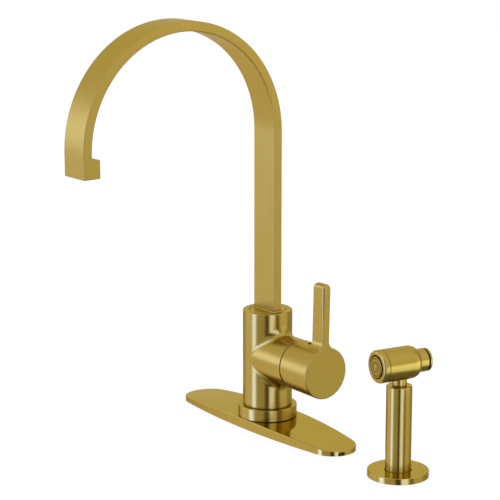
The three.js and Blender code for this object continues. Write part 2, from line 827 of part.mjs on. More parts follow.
const portBores = (low, high, radius) => [0, 120, 240].map((degrees) =>
  onCircle(rod(radius, low - past, high + past, coarse), portCircle, degrees));
place(barrel, 'cartridge_seal', cut(
  rod(cartridgeRadius, baseSealLow, baseSealLow + cartridgeSealThickness),
  ...portBores(baseSealLow, baseSealLow + cartridgeSealThickness, portRadius + portSealGap),
), rubber);
place(barrel, 'cartridge_housing', cut(
  revolve([
    [0, housingLow], [cartridgeRadius, housingLow], [cartridgeRadius, housingTop],
    [housingBore, housingTop], [housingBore, housingFloor], [0, housingFloor],
  ]),
  ...portBores(housingLow, housingFloor, portRadius),
), greyPlastic);
place(barrel, 'fixed_ceramic_disc', cut(
  rod(Math.min(discRadius, housingBore - clearance), fixedDiscLow, fixedDiscTop),
  ...portBores(fixedDiscLow, fixedDiscTop, portRadius),
), ceramic);

const tipPlace = movingDiscTop - stemTipDrop; // middle of the stem's round tip
const stemTipLow = tipPlace - stemTipRadius * 0.4;
const discPocketFloor = stemTipLow - clearance;
place(barrel, 'moving_ceramic_disc', cut(
  rod(movingDiscRadius, movingDiscLow, movingDiscTop),
  rod(stemTipRadius + clearance, discPocketFloor, movingDiscTop + past, 16),
), ceramic);

// The turret turns in the housing. A slot through it leaves the stem free to tip, and the
// pivot pin crosses the slot.
const slotHalfWidth = stemSquare / 2 + clearance;
const slotHalfHeight = stemSquare / 2 + (turretTop - pivot) * Math.tan(rad(tiltRange)) + 2 * clearance;
const turretRadius = housingBore - clearance;
const box = (x0, x1, y0, y1, z0, z1) => {
  const geometry = new THREE.BoxGeometry(x1 - x0, y1 - y0, z1 - z0);
  geometry.translate((x0 + x1) / 2, (y0 + y1) / 2, (z0 + z1) / 2);
  return closed(geometry);
};
const pinHole = pivotPinRadius + clearance;
const pinLength = 2 * (turretRadius - pivotPinRadius);
const crossRod = (radius, length, height, sides) =>
  moved(alongY(rod(radius, -length / 2, length / 2, sides)), 0, 0, height);
place(barrel, 'cartridge_turret', cut(
  rod(turretRadius, turretLow, turretTop),
  box(-slotHalfHeight, slotHalfHeight, -slotHalfWidth, slotHalfWidth,
    turretLow - past, turretTop + past),
  crossRod(pinHole, 2 * (turretRadius + past), pivot, coarse),
), blackPlastic);
place(barrel, 'stem_pivot_pin', crossRod(pivotPinRadius, pinLength, pivot, coarse), steel);

// Brass nut that clamps the cartridge in the barrel
const nutLow = Math.max(housingTop, turretTop) + clearance;
const cartridgeNutTop = nutLow + cartridgeNutLength;
const cartridgeNutRadius = cartridgeBoreRadius - clearance;
place(barrel, 'cartridge_nut', revolve([
  [cartridgeNutRadius - nutWall, nutLow], [cartridgeNutRadius, nutLow],
  [cartridgeNutRadius, cartridgeNutTop - edgeBreak], [cartridgeNutRadius - edgeBreak, cartridgeNutTop],
  [cartridgeNutRadius - nutWall, cartridgeNutTop], [cartridgeNutRadius - nutWall, nutLow],
]), rawBrass);

// ---------------------------------------------------------------------------------------------
// Handle: hub, lever, stem and set screw
// ---------------------------------------------------------------------------------------------

const hubLow = barrelReach + seamWidth;
const hubTop = hubLow + hubLength;
const cavityRadius = hubSeamRadius - hubWall;
const cavityEnd = hubTop - hubEndWall;
const bossLow = hubLow + bossStandoff;
const setScrewPlace = hubLow + setScrewOffset;

// Web under the blade: the keyhole outline's two fillets, tangent to the blade and to the hub.
function leverWeb(low, high) {
  const half = leverThickness / 2;
  const fx = half + leverFillet;
  const fy = Math.sqrt((hubFaceRadius + leverFillet) ** 2 - fx ** 2);
  const outward = Math.atan2(fy, fx);
  const shape = new THREE.Shape();
  shape.moveTo(half, fy);
  shape.absarc(fx, fy, leverFillet, Math.PI, Math.PI + outward, false);
  shape.lineTo(0, 0);
  const mirrored = -fx;
  shape.lineTo(mirrored + leverFillet * Math.cos(outward), fy - leverFillet * Math.sin(outward));
  shape.absarc(mirrored, fy, leverFillet, -outward, 0, false);
  const web = prism(shape, low, high, 8);
  return { web, foot: fy };
}

// The blade's side view, with rounded top corners, leaning a little outward.
function leverBlade(low, high, foot) {
  const lean = Math.tan(rad(leverLean)) * (leverTop - foot);
  const shape = new THREE.Shape();
  shape.moveTo(low, foot - overlap);
  shape.lineTo(high, foot - overlap);
  shape.lineTo(high, foot);
  shape.lineTo(high + lean * 0.96, leverTop - leverCorner);
  shape.quadraticCurveTo(high + lean, leverTop, high + lean - leverCorner, leverTop);
  shape.lineTo(low + lean + leverCorner, leverTop);
  shape.quadraticCurveTo(low + lean, leverTop, low + lean * 0.96, leverTop - leverCorner);
  shape.lineTo(low, foot);
  const geometry = new THREE.ExtrudeGeometry(shape, {
    depth: leverThickness - 2 * leverEdge,
    bevelThickness: leverEdge,
    bevelSize: leverEdge,
    bevelOffset: -leverEdge,
    bevelSegments: 2,
    curveSegments: 5,
  });
  geometry.translate(0, 0, -leverThickness / 2 + leverEdge);
  return closed(geometry);
}

// Turns a body drawn with its height on Y so that the height runs up (-X) in the barrel's frame
// and its width runs across (Y).
const webToBarrel = (geometry) => geometry.clone().rotateZ(Math.PI / 2);
const bladeToBarrel = (geometry) => {
  const swap = new THREE.Matrix4().makeBasis(
    new THREE.Vector3(0, 0, 1), new THREE.Vector3(-1, 0, 0), new THREE.Vector3(0, -1, 0),
  );
  return geometry.clone().applyMatrix4(swap);
};

const leverLow = hubTop - leverDepth;
const { web: keyholeWeb, foot: leverFoot } = leverWeb(leverLow, hubTop);
const hubShell = revolve([
  [0, hubLow], [hubSeamRadius - edgeBreak, hubLow], [hubSeamRadius, hubLow + edgeBreak],
  [hubFaceRadius, hubTop - edgeBreak], [hubFaceRadius - edgeBreak, hubTop], [0, hubTop],
], fine);

// Everything below this slanted plane is relieved, so that the hub's lower rim clears the
// barrel when the handle is tipped out as far as it goes.
function tiltRelief() {
  const slope = Math.tan(rad(tiltRange));
  const start = pivot + (barrelReach + clearance - pivot) / Math.cos(rad(tiltRange));
  const depth = hubFaceRadius + past;
  const shape = new THREE.Shape();
  shape.moveTo(pivot, 0);
  shape.lineTo(start, 0);
  shape.lineTo(start + slope * depth, depth);
  shape.lineTo(pivot, depth);
  const geometry = prism(shape, -depth, depth);
  const swap = new THREE.Matrix4().makeBasis(
    new THREE.Vector3(0, 0, 1), new THREE.Vector3(1, 0, 0), new THREE.Vector3(0, 1, 0),
  );
  return closed(geometry.applyMatrix4(swap));
}

const upward = (geometry) => geometry.clone().rotateY(-Math.PI / 2); // +Z to -X
const atSetScrew = (geometry) => moved(upward(geometry), 0, 0, setScrewPlace);
const screwTube = atSetScrew(rod(setScrewRadius + setScrewWall, overlap, hubSeamRadius - overlap, 16));
const screwBore = atSetScrew(rod(setScrewRadius + clearance, 0, hubFaceRadius + past, 16));
const socketHalf = stemSquare / 2 + clearance;
const blade = bladeToBarrel(leverBlade(leverLow, hubTop, leverFoot));
const hollow = cut(
  join(hubShell, webToBarrel(keyholeWeb), blade),
  rod(cavityRadius, hubLow - past, cavityEnd),
);
const withBoss = join(hollow, rod(bossRadius, bossLow, cavityEnd + overlap), screwTube);
place(barrel, 'handle', cut(
  withBoss,
  box(-socketHalf, socketHalf, -socketHalf, socketHalf,
    bossLow - past, bossLow + socketDepth + clearance),
  screwBore,
  tiltRelief(),
), brushedBrass);

// The stem: a round tip in the moving disc, an eye on the pivot pin and a square end in the hub
const stemEye = stemSquare / 2;
const eyeTop = pivot + stemEye;
const stemEnd = bossLow + socketDepth;
place(barrel, 'handle_stem', cut(
  join(
    revolve([
      [0, stemTipLow], [stemTipRadius * 0.8, stemTipLow],
      [stemTipRadius, tipPlace], [stemTipRadius * 0.8, tipPlace + stemTipRadius * 0.6],
      [stemTipRadius * 0.75, pivot], [0, pivot],
    ], 16),
    crossRod(stemEye, stemSquare, pivot, plain),
    box(-stemEye, stemEye, -stemEye, stemEye, eyeTop - 2 * overlap, stemEnd),
  ),
  crossRod(pinHole, stemSquare + 2 * past, pivot, coarse),
), rawBrass);

const setScrewTop = hubSeamRadius - setScrewRecess;
const setScrewLow = socketHalf;
place(barrel, 'handle_set_screw', atSetScrew(cut(
  revolve([
    [0, setScrewLow], [setScrewRadius - edgeBreak, setScrewLow],
    [setScrewRadius, setScrewLow + edgeBreak],
    [setScrewRadius, setScrewTop], [0, setScrewTop],
  ], 16),
  hexPrism(setScrewRadius * 1.05, setScrewTop - setScrewSocket, setScrewTop + past),
)), steel);

// ---------------------------------------------------------------------------------------------
// Sprayer holder
// ---------------------------------------------------------------------------------------------

const sprayer = new THREE.Group();
sprayer.position.set(sprayerSpacing, 0, 0);
faucet.add(sprayer);

const lipLow = flangeHeight - flangeLip;
const holderTop = lipLow - clearance;
const holderHole = holderRadius + clearance;
const gripHole = gripRadius + clearance;
place(sprayer, 'sprayer_flange', revolve([
  [holderHole, 0], [flangeRadius, 0], [flangeRadius, flangeHeight - edgeBreak],
  [flangeRadius - edgeBreak, flangeHeight], [gripHole, flangeHeight], [gripHole, lipLow],
  [holderHole, lipLow], [holderHole, 0],
], fine), brushedBrass);

const holderLow = -deckThickness - holderBelowDeck;
const linerOuter = holderRadius - holderWall - clearance;
const linerInner = linerOuter - linerWall;
const linerLipTop = -gripBelowDeck - clearance;
const linerLow = linerLipTop - linerLip;
const ledge = linerLow - clearance;
const lipHole = linerInner - linerLipWidth;
const holderShelf = linerOuter - shelfWidth; // the liner stands on this step in the holder
place(sprayer, 'sprayer_holder', revolve([
  [holderShelf, holderLow], [holderRadius, holderLow], [holderRadius, holderTop],
  [holderRadius - holderWall, holderTop], [holderRadius - holderWall, ledge],
  [holderShelf, ledge], [holderShelf, holderLow],
]), rawBrass);
place(sprayer, 'sprayer_liner', revolve([
  [lipHole, linerLow], [linerOuter, linerLow], [linerOuter, holderTop], [linerInner, holderTop],
  [linerInner, linerLipTop], [lipHole, linerLipTop], [lipHole, linerLow],
]), blackPlastic);
place(sprayer, 'sprayer_rubber_washer',
  tube(holderHole, holderWasherRadius, rubberWasherLow, -deckThickness), rubber);
place(sprayer, 'sprayer_nut', cut(
  hexPrism(holderNutFlats, metalWasherTop - nutHeight, metalWasherTop),
  rod(holderHole, metalWasherTop - nutHeight - past, metalWasherTop + past),
), blackPlastic);

// ---------------------------------------------------------------------------------------------
// Sprayer wand: coupling, grip and neck
// ---------------------------------------------------------------------------------------------

const gripLow = -gripBelowDeck;
const gripBore = gripRadius - gripWall;
const gripEndTop = gripLow + gripEnd;
const neckThreadLow = gripTop - neckInGrip;
place(sprayer, 'sprayer_grip', revolve([
  [couplingNeck + clearance, gripLow], [gripRadius - gripEdge, gripLow],
  [gripRadius, gripLow + gripEdge], [gripRadius, gripTop - gripEdge],
  [gripRadius - gripEdge, gripTop], [neckSpigot + clearance, gripTop],
  [neckSpigot + clearance, neckThreadLow - clearance], [gripBore, neckThreadLow - clearance],
  [gripBore, gripEndTop], [couplingNeck + clearance, gripEndTop],
  [couplingNeck + clearance, gripLow],
], middling), brushedBrass);

const couplingTop = gripLow - clearance;
const couplingLow = couplingTop - couplingLength;
place(sprayer, 'sprayer_hose_coupling', revolve([
  [0, couplingLow - hoseNippleLength], [hoseNippleRadius, couplingLow - hoseNippleLength],
  [hoseNippleRadius, couplingLow], [couplingRadius - couplingNeckIn, couplingLow],
  [couplingRadius, couplingLow + couplingTaper], [couplingRadius, couplingTop],
  [couplingNeck, couplingTop], [couplingNeck, gripEndTop + clearance],
  [couplingFlange, gripEndTop + clearance], [couplingFlange, gripEndTop + couplingFlangeThickness],
  [0, gripEndTop + couplingFlangeThickness],
]), rawBrass);

const headCylinder = (radius) =>
  moved(alongY(rod(radius, -headFront, headBack + shoulderLength, fine)), 0, 0, headHeight)
    .rotateZ(rad(headYaw));
const neckFoot = gripTop + clearance;
place(sprayer, 'sprayer_neck', cut(
  join(
    cut(rod(neckRadius, neckFoot, headHeight), headCylinder(headRadius + clearance)),
    rod(neckSpigot, neckThreadLow, headHeight - midChamber - past),
  ),
  rod(neckBore, neckThreadLow - past, headHeight, 16),
), brushedBrass);

// ---------------------------------------------------------------------------------------------
// Sprayer head. In this frame +Z points back along the head and +Y is down.
// ---------------------------------------------------------------------------------------------

const head = new THREE.Group();
head.position.set(0, 0, headHeight);
head.rotation.set(-Math.PI / 2, 0, rad(headYaw), 'ZXY');
sprayer.add(head);

const ringBack = -headFront + frontRingLength;
const headStart = ringBack + clearance;
const skirtBack = ringBack + frontSkirtLength;
const nozzleFlange = sprayOpening + nozzleFlangeWidth;
const skirtInner = nozzleFlange + clearance;
const skirtOuter = skirtInner + frontSkirtWall;
const counterbore = skirtOuter + clearance;
const counterboreEnd = skirtBack + clearance;
const webLow = -webPlace;
const webTop = webLow + valveWeb;
const shoulderEnd = headBack + shoulderLength;
const headEnd = shoulderEnd + rearNeckLength;
const buttonLow = headEnd + buttonGap;
const buttonTop = buttonLow + buttonThickness;
const sleeveTop = buttonLow - clearance;
const sleeveLow = sleeveTop - sleeveLength;
const sleeveRoof = sleeveTop - sleeveRoofThickness;
const rearBore = sleeveRadius + clearance;
const rearLedge = sleeveLow - buttonTravel - clearance;
const rodHole = plungerRadius + clearance;

place(head, 'sprayer_head', cut(
  revolve([
    [counterbore, headStart], [headRadius - seamEdge, headStart], [headRadius, headStart + seamEdge],
    ...arc(rearNeckRadius, headBack, headRadius - rearNeckRadius, shoulderLength, 0, 90, 4),
    [rearNeckRadius, headEnd], [rearBore, headEnd], [rearBore, rearLedge],
    [rodHole, rearLedge], [rodHole, rearLedge - rodGuide],
    [midChamber, rearLedge - rodGuide], [midChamber, webTop], [valveHole, webTop],
    [valveHole, webLow], [sprayOpening, webLow], [sprayOpening, counterboreEnd],
    [counterbore, counterboreEnd], [counterbore, headStart],
  ], middling),
  alongY(rod(neckSpigot + clearance, midChamber - 2 * overlap, headRadius + past)),
), brushedBrass);

const lipBack = -headFront + sprayLip;
place(head, 'sprayer_front_ring', revolve([
  [sprayOpening, -headFront],
  ...arc(headRadius - frontRingRound, -headFront + frontRingRound,
    frontRingRound, frontRingRound, -90, 0, 2),
  [headRadius, ringBack - seamEdge], [headRadius - seamEdge, ringBack], [skirtOuter, ringBack],
  [skirtOuter, skirtBack], [skirtInner, skirtBack], [skirtInner, lipBack],
  [sprayOpening, lipBack], [sprayOpening, -headFront],
], middling), brushedBrass);

// Spray face: a disc that stands a little proud, with two rings of nozzles in grooves round a boss
const faceLow = -headFront - nozzleStand;
const faceGrooveFloor = faceLow + faceGrooveDepth;
const faceGroove = (radius) => [
  [radius - faceGrooveHalf, faceLow], [radius - faceGrooveHalf, faceGrooveFloor],
  [radius + faceGrooveHalf, faceGrooveFloor], [radius + faceGrooveHalf, faceLow],
];
const faceBack = faceLow + nozzlePlate;
const flangeFront = lipBack + clearance;
const skirtEnd = faceBack + nozzleSkirt;
const faceBore = nozzleFlange - nozzleSkirtWall;
const pins = [[outerPins, outerPinCircle, 0], [innerPins, innerPinCircle, 22.5]];
const pinRods = pins.flatMap(([count, circle, phase]) => Array.from({ length: count }, (_, i) =>
  onCircle(revolve([
    [0, faceLow - nozzlePinHeight], [nozzlePinRadius * 0.7, faceLow - nozzlePinHeight],
    [nozzlePinRadius, faceGrooveFloor + overlap / 2], [0, faceGrooveFloor + overlap / 2],
  ], 5), circle, phase + (360 * i) / count)));
place(head, 'sprayer_nozzle_face', join(
  revolve([
    [0, faceLow - faceBossHeight], [faceBossRadius * 0.75, faceLow - faceBossHeight * 0.75],
    [faceBossRadius, faceLow], ...faceGroove(innerPinCircle), ...faceGroove(outerPinCircle),
    [nozzleRadius - seamEdge, faceLow], [nozzleRadius, faceLow + seamEdge],
    [nozzleRadius, flangeFront], [nozzleFlange, flangeFront], [nozzleFlange, skirtEnd],
    [faceBore, skirtEnd], [faceBore, faceBack], [0, faceBack],
  ], plain),
  ...pinRods,
), brushedBrass);

// Thumb button, the sleeve that it slides on, its spring and the valve rod
const sleeveInner = sleeveRadius - sleeveWall;
place(head, 'sprayer_button', revolve([
  [0, buttonLow], [buttonRadius - clearance, buttonLow], [buttonRadius, buttonLow + clearance],
  ...arc(buttonRadius - buttonRound, buttonTop - buttonRound, buttonRound, buttonRound, 0, 90, 2),
  [0, buttonTop],
], middling), brushedBrass);
place(head, 'sprayer_button_sleeve', revolve([
  [rodHole, sleeveTop], [sleeveRadius, sleeveTop], [sleeveRadius, sleeveLow],
  [sleeveInner, sleeveLow], [sleeveInner, sleeveRoof], [rodHole, sleeveRoof],
  [rodHole, sleeveTop],
]), blackPlastic);

const sealBack = webLow - clearance;
const sealFront = sealBack - valveSealThickness;
const discFront = sealFront - clearance - rodDiscThickness;
const rodDiscRadius = valveSealRadius - rodDiscStep;
place(head, 'sprayer_valve_seal', tube(rodHole, valveSealRadius, sealFront, sealBack), rubber);
place(head, 'sprayer_valve_rod', revolve([
  [0, discFront], [rodDiscRadius, discFront], [rodDiscRadius, sealFront - clearance],
  [plungerRadius, sealFront - clearance], [plungerRadius, sleeveTop], [0, sleeveTop],
]), steel);

// The spring sits round the rod, from the ledge in the head up towards the button.
class Helix extends THREE.Curve {
  constructor(radius, low, high, turns) {
    super();
    Object.assign(this, { radius, low, high, turns });
  }

  getPoint(t, target = new THREE.Vector3()) {
    const angle = 2 * Math.PI * this.turns * t;
    const z = this.low + (this.high - this.low) * t;
    return target.set(this.radius * Math.cos(angle), this.radius * Math.sin(angle), z);
  }
}
const springFoot = rearLedge + clearance + springWire;
const springHead = sleeveRoof - buttonTravel - clearance - springWire;
const springRadius = (plungerRadius + sleeveInner) / 2 + springOffset;
const wireShape = new THREE.Shape();
wireShape.absarc(0, 0, springWire, 0, 2 * Math.PI, false);
place(head, 'sprayer_button_spring', closed(new THREE.ExtrudeGeometry(wireShape, {
  steps: 8 * springTurns,
  curveSegments: 2,
  extrudePath: new Helix(springRadius, springFoot, springHead, springTurns),
})), steel);

export default faucet;
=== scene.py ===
"""Kitchen faucet with a strap spout, a side lever and a separate side sprayer, dressed in brushed brass.

Lengths are in millimetres until a mesh is made; the model itself is in metres.
"""

from math import asin, atan2, copysign, cos, degrees, pi, radians, sin, sqrt, tan

import bmesh
import bpy
from mathutils import Matrix, Vector
from mathutils.geometry import tessellate_polygon


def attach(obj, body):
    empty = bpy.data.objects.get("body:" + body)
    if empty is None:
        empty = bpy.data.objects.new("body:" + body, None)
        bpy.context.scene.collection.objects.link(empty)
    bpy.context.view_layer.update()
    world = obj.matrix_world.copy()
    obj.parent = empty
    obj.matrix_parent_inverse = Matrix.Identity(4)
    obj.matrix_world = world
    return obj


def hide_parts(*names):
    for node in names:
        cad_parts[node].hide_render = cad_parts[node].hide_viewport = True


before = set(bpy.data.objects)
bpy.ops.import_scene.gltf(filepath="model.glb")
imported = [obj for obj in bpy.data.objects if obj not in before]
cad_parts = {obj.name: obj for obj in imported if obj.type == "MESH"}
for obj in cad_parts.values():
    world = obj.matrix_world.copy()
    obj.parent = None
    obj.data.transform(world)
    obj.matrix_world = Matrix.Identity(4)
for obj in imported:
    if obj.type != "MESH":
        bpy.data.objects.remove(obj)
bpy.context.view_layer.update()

MM = 0.001
UP = (0, 0, 1)
SIDEWAYS = (1, 0, 0)

# ---- Sizes, as the solids have them ----

CLEARANCE = 0.3

PLATE_HALF_LENGTH = 129
PLATE_HALF_WIDTH = 31
PLATE_END_RADIUS = 23.5
PLATE_HEIGHT = 10.3
PLATE_CROWN = 5.8
PLATE_WALL = 2.2
PLATE_SOLID_END = 14
PLATE_ROOF = 2.2
PLATE_LOWEST_ROOF = 3.2

RING_RADIUS = 30.5
RING_BORE = 19.8
RING_LOW = 10.6
RING_TOP = 22.6

BODY_RADIUS = 25.5
BODY_LOW = 22.9
BODY_TOP = 123.3
BODY_EDGE = 1.2
SPIGOT_RADIUS = 19.5
SHANK_RADIUS = 14
SHANK_TOP = 38.9
BARREL_RADIUS = 25.3
BARREL_REACH = 51
BARREL_HEIGHT = 75.5
BARREL_FILLET = 9
BLEND_REACH = 38
CARTRIDGE_BORE = 19
CARTRIDGE_FLOOR = 20
SCREW_HEIGHT = 98.36
SCREW_HOLE = 2.55
SCREW_HOLE_END = 15
SEAM_EDGE = 0.4

COLLAR_RADIUS = 18.4
COLLAR_SEAT = 117.8
COLLAR_EDGE = 0.7
STEM_RADIUS = 13
STEM_LOW = 90.8
STEM_BORE = 4
STEM_GROOVES = [(112.4, 1.2, 11.1), (105.65, 1.2, 11.1), (98.36, 2.8, 11)]  # height, half width, floor
POCKET_FLOOR = 120.8

STRAP_WIDTH = 33.7
STRAP_THICKNESS = 9.8
STRAP_EDGE = 0.9
STRAP_FOOT = 121.1
ARCH_RADIUS = 113.2
SPRING_LINE = 309
TIP_LOW = 286
TIP_EDGE = 0.7
HOOK_TOP = 304
HOOK_REACH = 9
HOOK_EDGE = 0.5
OUTLET_PLACE = HOOK_REACH / 2 - 2 * ARCH_RADIUS
AERATOR_RADIUS = 8
AERATOR_BORE = 6.7
AERATOR_LOW = 286.6
AERATOR_SHELF = 294.1
AERATOR_TOP = 295.6

HUB_LOW = 52.6
HUB_TOP = 94.1
HUB_SEAM_RADIUS = 25.6
HUB_FACE_RADIUS = 26.4
HUB_CAVITY_RADIUS = 21
HUB_CAVITY_END = 86.1
HUB_EDGE = 1.2
BOSS_RADIUS = 8
BOSS_END = 57.9
STEM_SOCKET_RADIUS = 5.25
STEM_SOCKET_END = 73.2
LEVER_LOW = 77.1
LEVER_HALF = 4.35
LEVER_TOP = 91.5
LEVER_LEAN = 1.6
LEVER_FILLET = 9
LEVER_CORNER = 3.4
LEVER_EDGE = 1.1
LEVER_TOP_ROUND = 3.6
SOFT_EDGE = 3.3
SOFT_EDGE_START = 48
SOFT_EDGE_FULL = 76
SET_SCREW_PLACE = 69.9
SET_SCREW_HOLE = 3
TILT_PIVOT = 41
TILT_RANGE = 15

SPRAYER_PLACE = 203.2
HOLDER_RADIUS = 17
NIPPLE_RADIUS = 3.4
NIPPLE_CIRCLE = 6.6
THREAD_RIDGE = 0.27
GRIP_RADIUS = 12.5
GRIP_LOW = -30.7
GRIP_TOP = 90
HEAD_HEIGHT = 111.4
HEAD_YAW = -9
HEAD_RADIUS = 16
HEAD_FRONT = -26.4
RING_BACK = -20.2
HEAD_START = -19.9
HEAD_BACK = 8.4
SHOULDER_END = 17.3
REAR_NECK_RADIUS = 11.3
HEAD_END = 26.4
BUTTON_BORE = 9.9
SPRAY_OPENING = 11.6
FACE_LOW = -27.3
BUTTON_RADIUS = 11.2
BUTTON_LOW = 28.2
BUTTON_TOP = 30.6


# ---- Node trees written as plain expressions ----

def arithmetic(operation, reflected=False):
    """An operator that joins a wire and another value by a maths node."""
    def operator(wire, other):
        pair = (other, wire) if reflected else (wire, other)
        return wire.sheet.maths(operation, *pair)
    return operator


class Wire:
    """The output of a node, which can be used in arithmetic."""

    def __init__(self, sheet, socket):
        self.sheet = sheet
        self.socket = socket

    __add__ = arithmetic("ADD")
    __radd__ = arithmetic("ADD", reflected=True)
    __sub__ = arithmetic("SUBTRACT")
    __rsub__ = arithmetic("SUBTRACT", reflected=True)
    __mul__ = arithmetic("MULTIPLY")
    __rmul__ = arithmetic("MULTIPLY", reflected=True)
    __truediv__ = arithmetic("DIVIDE")
    __rtruediv__ = arithmetic("DIVIDE", reflected=True)
    __pow__ = arithmetic("POWER")


class Sheet:
    """A node tree with one method that makes any node."""

    def __init__(self, tree):
        self.tree = tree

    def feed(self, node, inputs):
        """Gives a node's sockets their values or wires."""
        for name, value in inputs.items():
            if isinstance(value, Wire):
                self.tree.links.new(value.socket, node.inputs[name])
            else:
                node.inputs[name].default_value = value

    def node(self, kind, inputs=None, output=0, **settings):
        """A node's type, its sockets' values or wires, the output, and settings, which come first."""
        made = self.tree.nodes.new(kind)
        for name, value in settings.items():
            setattr(made, name, value)
        self.feed(made, inputs or {})
        return Wire(self, made.outputs[output])

    def maths(self, operation, *values):
        return self.node("ShaderNodeMath", dict(enumerate(values)), operation=operation)

    def vector_maths(self, operation, inputs, output=0):
        return self.node("ShaderNodeVectorMath", inputs, output, operation=operation)

    def split(self, vector):
        """The three numbers of a vector."""
        made = self.node("ShaderNodeSeparateXYZ", {0: vector}).socket.node
        return [Wire(self, socket) for socket in made.outputs]

    def joined(self, x, y, z):
        return self.node("ShaderNodeCombineXYZ", {"X": x, "Y": y, "Z": z})

    def smooth_step(self, value, low, high):
        """0 below low, 1 above high, and a soft rise between them."""
        inputs = {"Value": value, "From Min": low, "From Max": high}
        return self.node("ShaderNodeMapRange", inputs, interpolation_type="SMOOTHSTEP")

    def mix_values(self, share, first, second):
        return self.node("ShaderNodeMix", {0: share, 2: first, 3: second}, data_type="FLOAT")

    def mix_colours(self, share, first, second):
        return self.node("ShaderNodeMix", {0: share, 6: first, 7: second}, 2, data_type="RGBA")

    def noise(self, vector, detail=2.0, roughness=0.5):
        inputs = {"Vector": vector, "Scale": 1.0, "Detail": detail, "Roughness": roughness}
        return self.node("ShaderNodeTexNoise", inputs)

    def grain(self, height, strength, depth=0.00008):
        return self.node("ShaderNodeBump", {"Strength": strength, "Distance": depth, "Height": height})


class Recipe(Sheet):
    """A Geometry Nodes tree with named inputs, which is turned into a plain mesh."""

    def __init__(self, name, **inputs):
        super().__init__(bpy.data.node_groups.new(name, "GeometryNodeTree"))
        self.values = {}
        for label, value in inputs.items():
            kind = "NodeSocketFloat"
            if isinstance(value, int):
                kind = "NodeSocketInt"
            if isinstance(value, bpy.types.Material):
                kind = "NodeSocketMaterial"
            socket = self.tree.interface.new_socket(label, in_out="INPUT", socket_type=kind)
            self.values[socket.identifier] = value
        self.tree.interface.new_socket("Geometry", in_out="OUTPUT", socket_type="NodeSocketGeometry")
        self.given = self.tree.nodes.new("NodeGroupInput")
        self.result = self.tree.nodes.new("NodeGroupOutput")

    def __getitem__(self, label):
        return Wire(self, self.given.outputs[label])

    def bake(self, geometry):
        """Realizes the instances, lays the finish and returns the mesh."""
        realized = self.node("GeometryNodeRealizeInstances", {0: geometry})
        inputs = {"Geometry": realized, "Material": self["Finish"]}
        self.feed(self.result, {0: self.node("GeometryNodeSetMaterial", inputs)})
        host = new_object(self.tree.name, bpy.data.meshes.new(self.tree.name))
        modifier = host.modifiers.new("recipe", "NODES")
        modifier.node_group = self.tree
        for identifier, value in self.values.items():
            modifier[identifier] = value
        evaluated = host.evaluated_get(bpy.context.evaluated_depsgraph_get())
        mesh = bpy.data.meshes.new_from_object(evaluated)
        host.modifiers.remove(modifier)
        bpy.data.objects.remove(host)
        return mesh


# ---- Finishes ----

BRASS = (0.48, 0.348, 0.073, 1)
BRASS_DEEP = (0.445, 0.308, 0.056, 1)
BRASS_AT_THE_EDGE = (0.85, 0.8, 0.55, 1)


def grey(level):
    return (level, level, level, 1)


def new_material(name):
    """A material, its sheet, its shader and the place on the object."""
    material = bpy.data.materials.new(name)
    material.use_nodes = True
    sheet = Sheet(material.node_tree)
    place = sheet.node("ShaderNodeTexCoord", output="Object")
    return material, sheet, sheet.tree.nodes["Principled BSDF"], place


def pattern(sheet, place, axis, across, along, **settings):
    """Noise with `along` waves per metre in the axis' direction and `across` in the others."""
    share = sheet.vector_maths("DOT_PRODUCT", {0: place, 1: axis}, "Value")
    spread = sheet.vector_maths("SCALE", {0: place, "Scale": across})
    extra = sheet.joined(*[share * ((along - across) * part) for part in axis])
    return sheet.noise(sheet.vector_maths("ADD", {0: spread, 1: extra}), **settings)


def brush_lines(sheet, place, axis, turned=True):
    """Fine and coarse brush lines. A turned piece is brushed round its axis, a flat one along it."""
    fine = (60, 5600) if turned else (5600, 50)
    coarse = (20, 1500) if turned else (1500, 12)
    first = pattern(sheet, place, axis, *fine, detail=3.0, roughness=0.65)
    return first * 0.65 + pattern(sheet, place, axis, *coarse) * 0.35


def brushed(axis, turned=True):
    """Brush lines for a whole piece, as a function that a finish takes."""
    return lambda sheet, place: brush_lines(sheet, place, axis, turned)


def body_lines(sheet, place):
    """Brushed round the upright body, and round the side barrel beyond the fillet."""
    x, y, _ = sheet.split(place)
    from_axis = (x * x + y * y) ** 0.5
    beyond = sheet.smooth_step(from_axis, (BODY_RADIUS + 0.3) * MM, (BODY_RADIUS + 3.5) * MM)
    return sheet.mix_values(beyond, brush_lines(sheet, place, UP), brush_lines(sheet, place, SIDEWAYS))


def strap_lines(sheet, place):
    """Brushed along the strap, round the arch and down both legs."""
    x, y, height = sheet.split(place)
    y = y + ARCH_RADIUS * MM
    above = sheet.maths("MAXIMUM", height - SPRING_LINE * MM, 0.0)
    depth = (y * y + above * above) ** 0.5
    fine = sheet.noise(sheet.joined(x * 5600, depth * 5600, height * 50), detail=3.0, roughness=0.65)
    wide = sheet.noise(sheet.joined(x * 1200, depth * 1200, height * 10))
    return fine * 0.6 + wide * 0.4


def lever_lines(sheet, place):
    """Brushed round the hub, and up and down the blade and the end face."""
    x, _, height = sheet.split(place)
    face = sheet.smooth_step(x, (HUB_TOP - 0.5) * MM, (HUB_TOP - 0.1) * MM)
    blade = sheet.smooth_step(height, (BARREL_HEIGHT + 25) * MM, (BARREL_HEIGHT + 28) * MM)
    flat = sheet.maths("MAXIMUM", face, blade)
    return sheet.mix_values(flat, brush_lines(sheet, place, SIDEWAYS), brush_lines(sheet, place, UP, False))


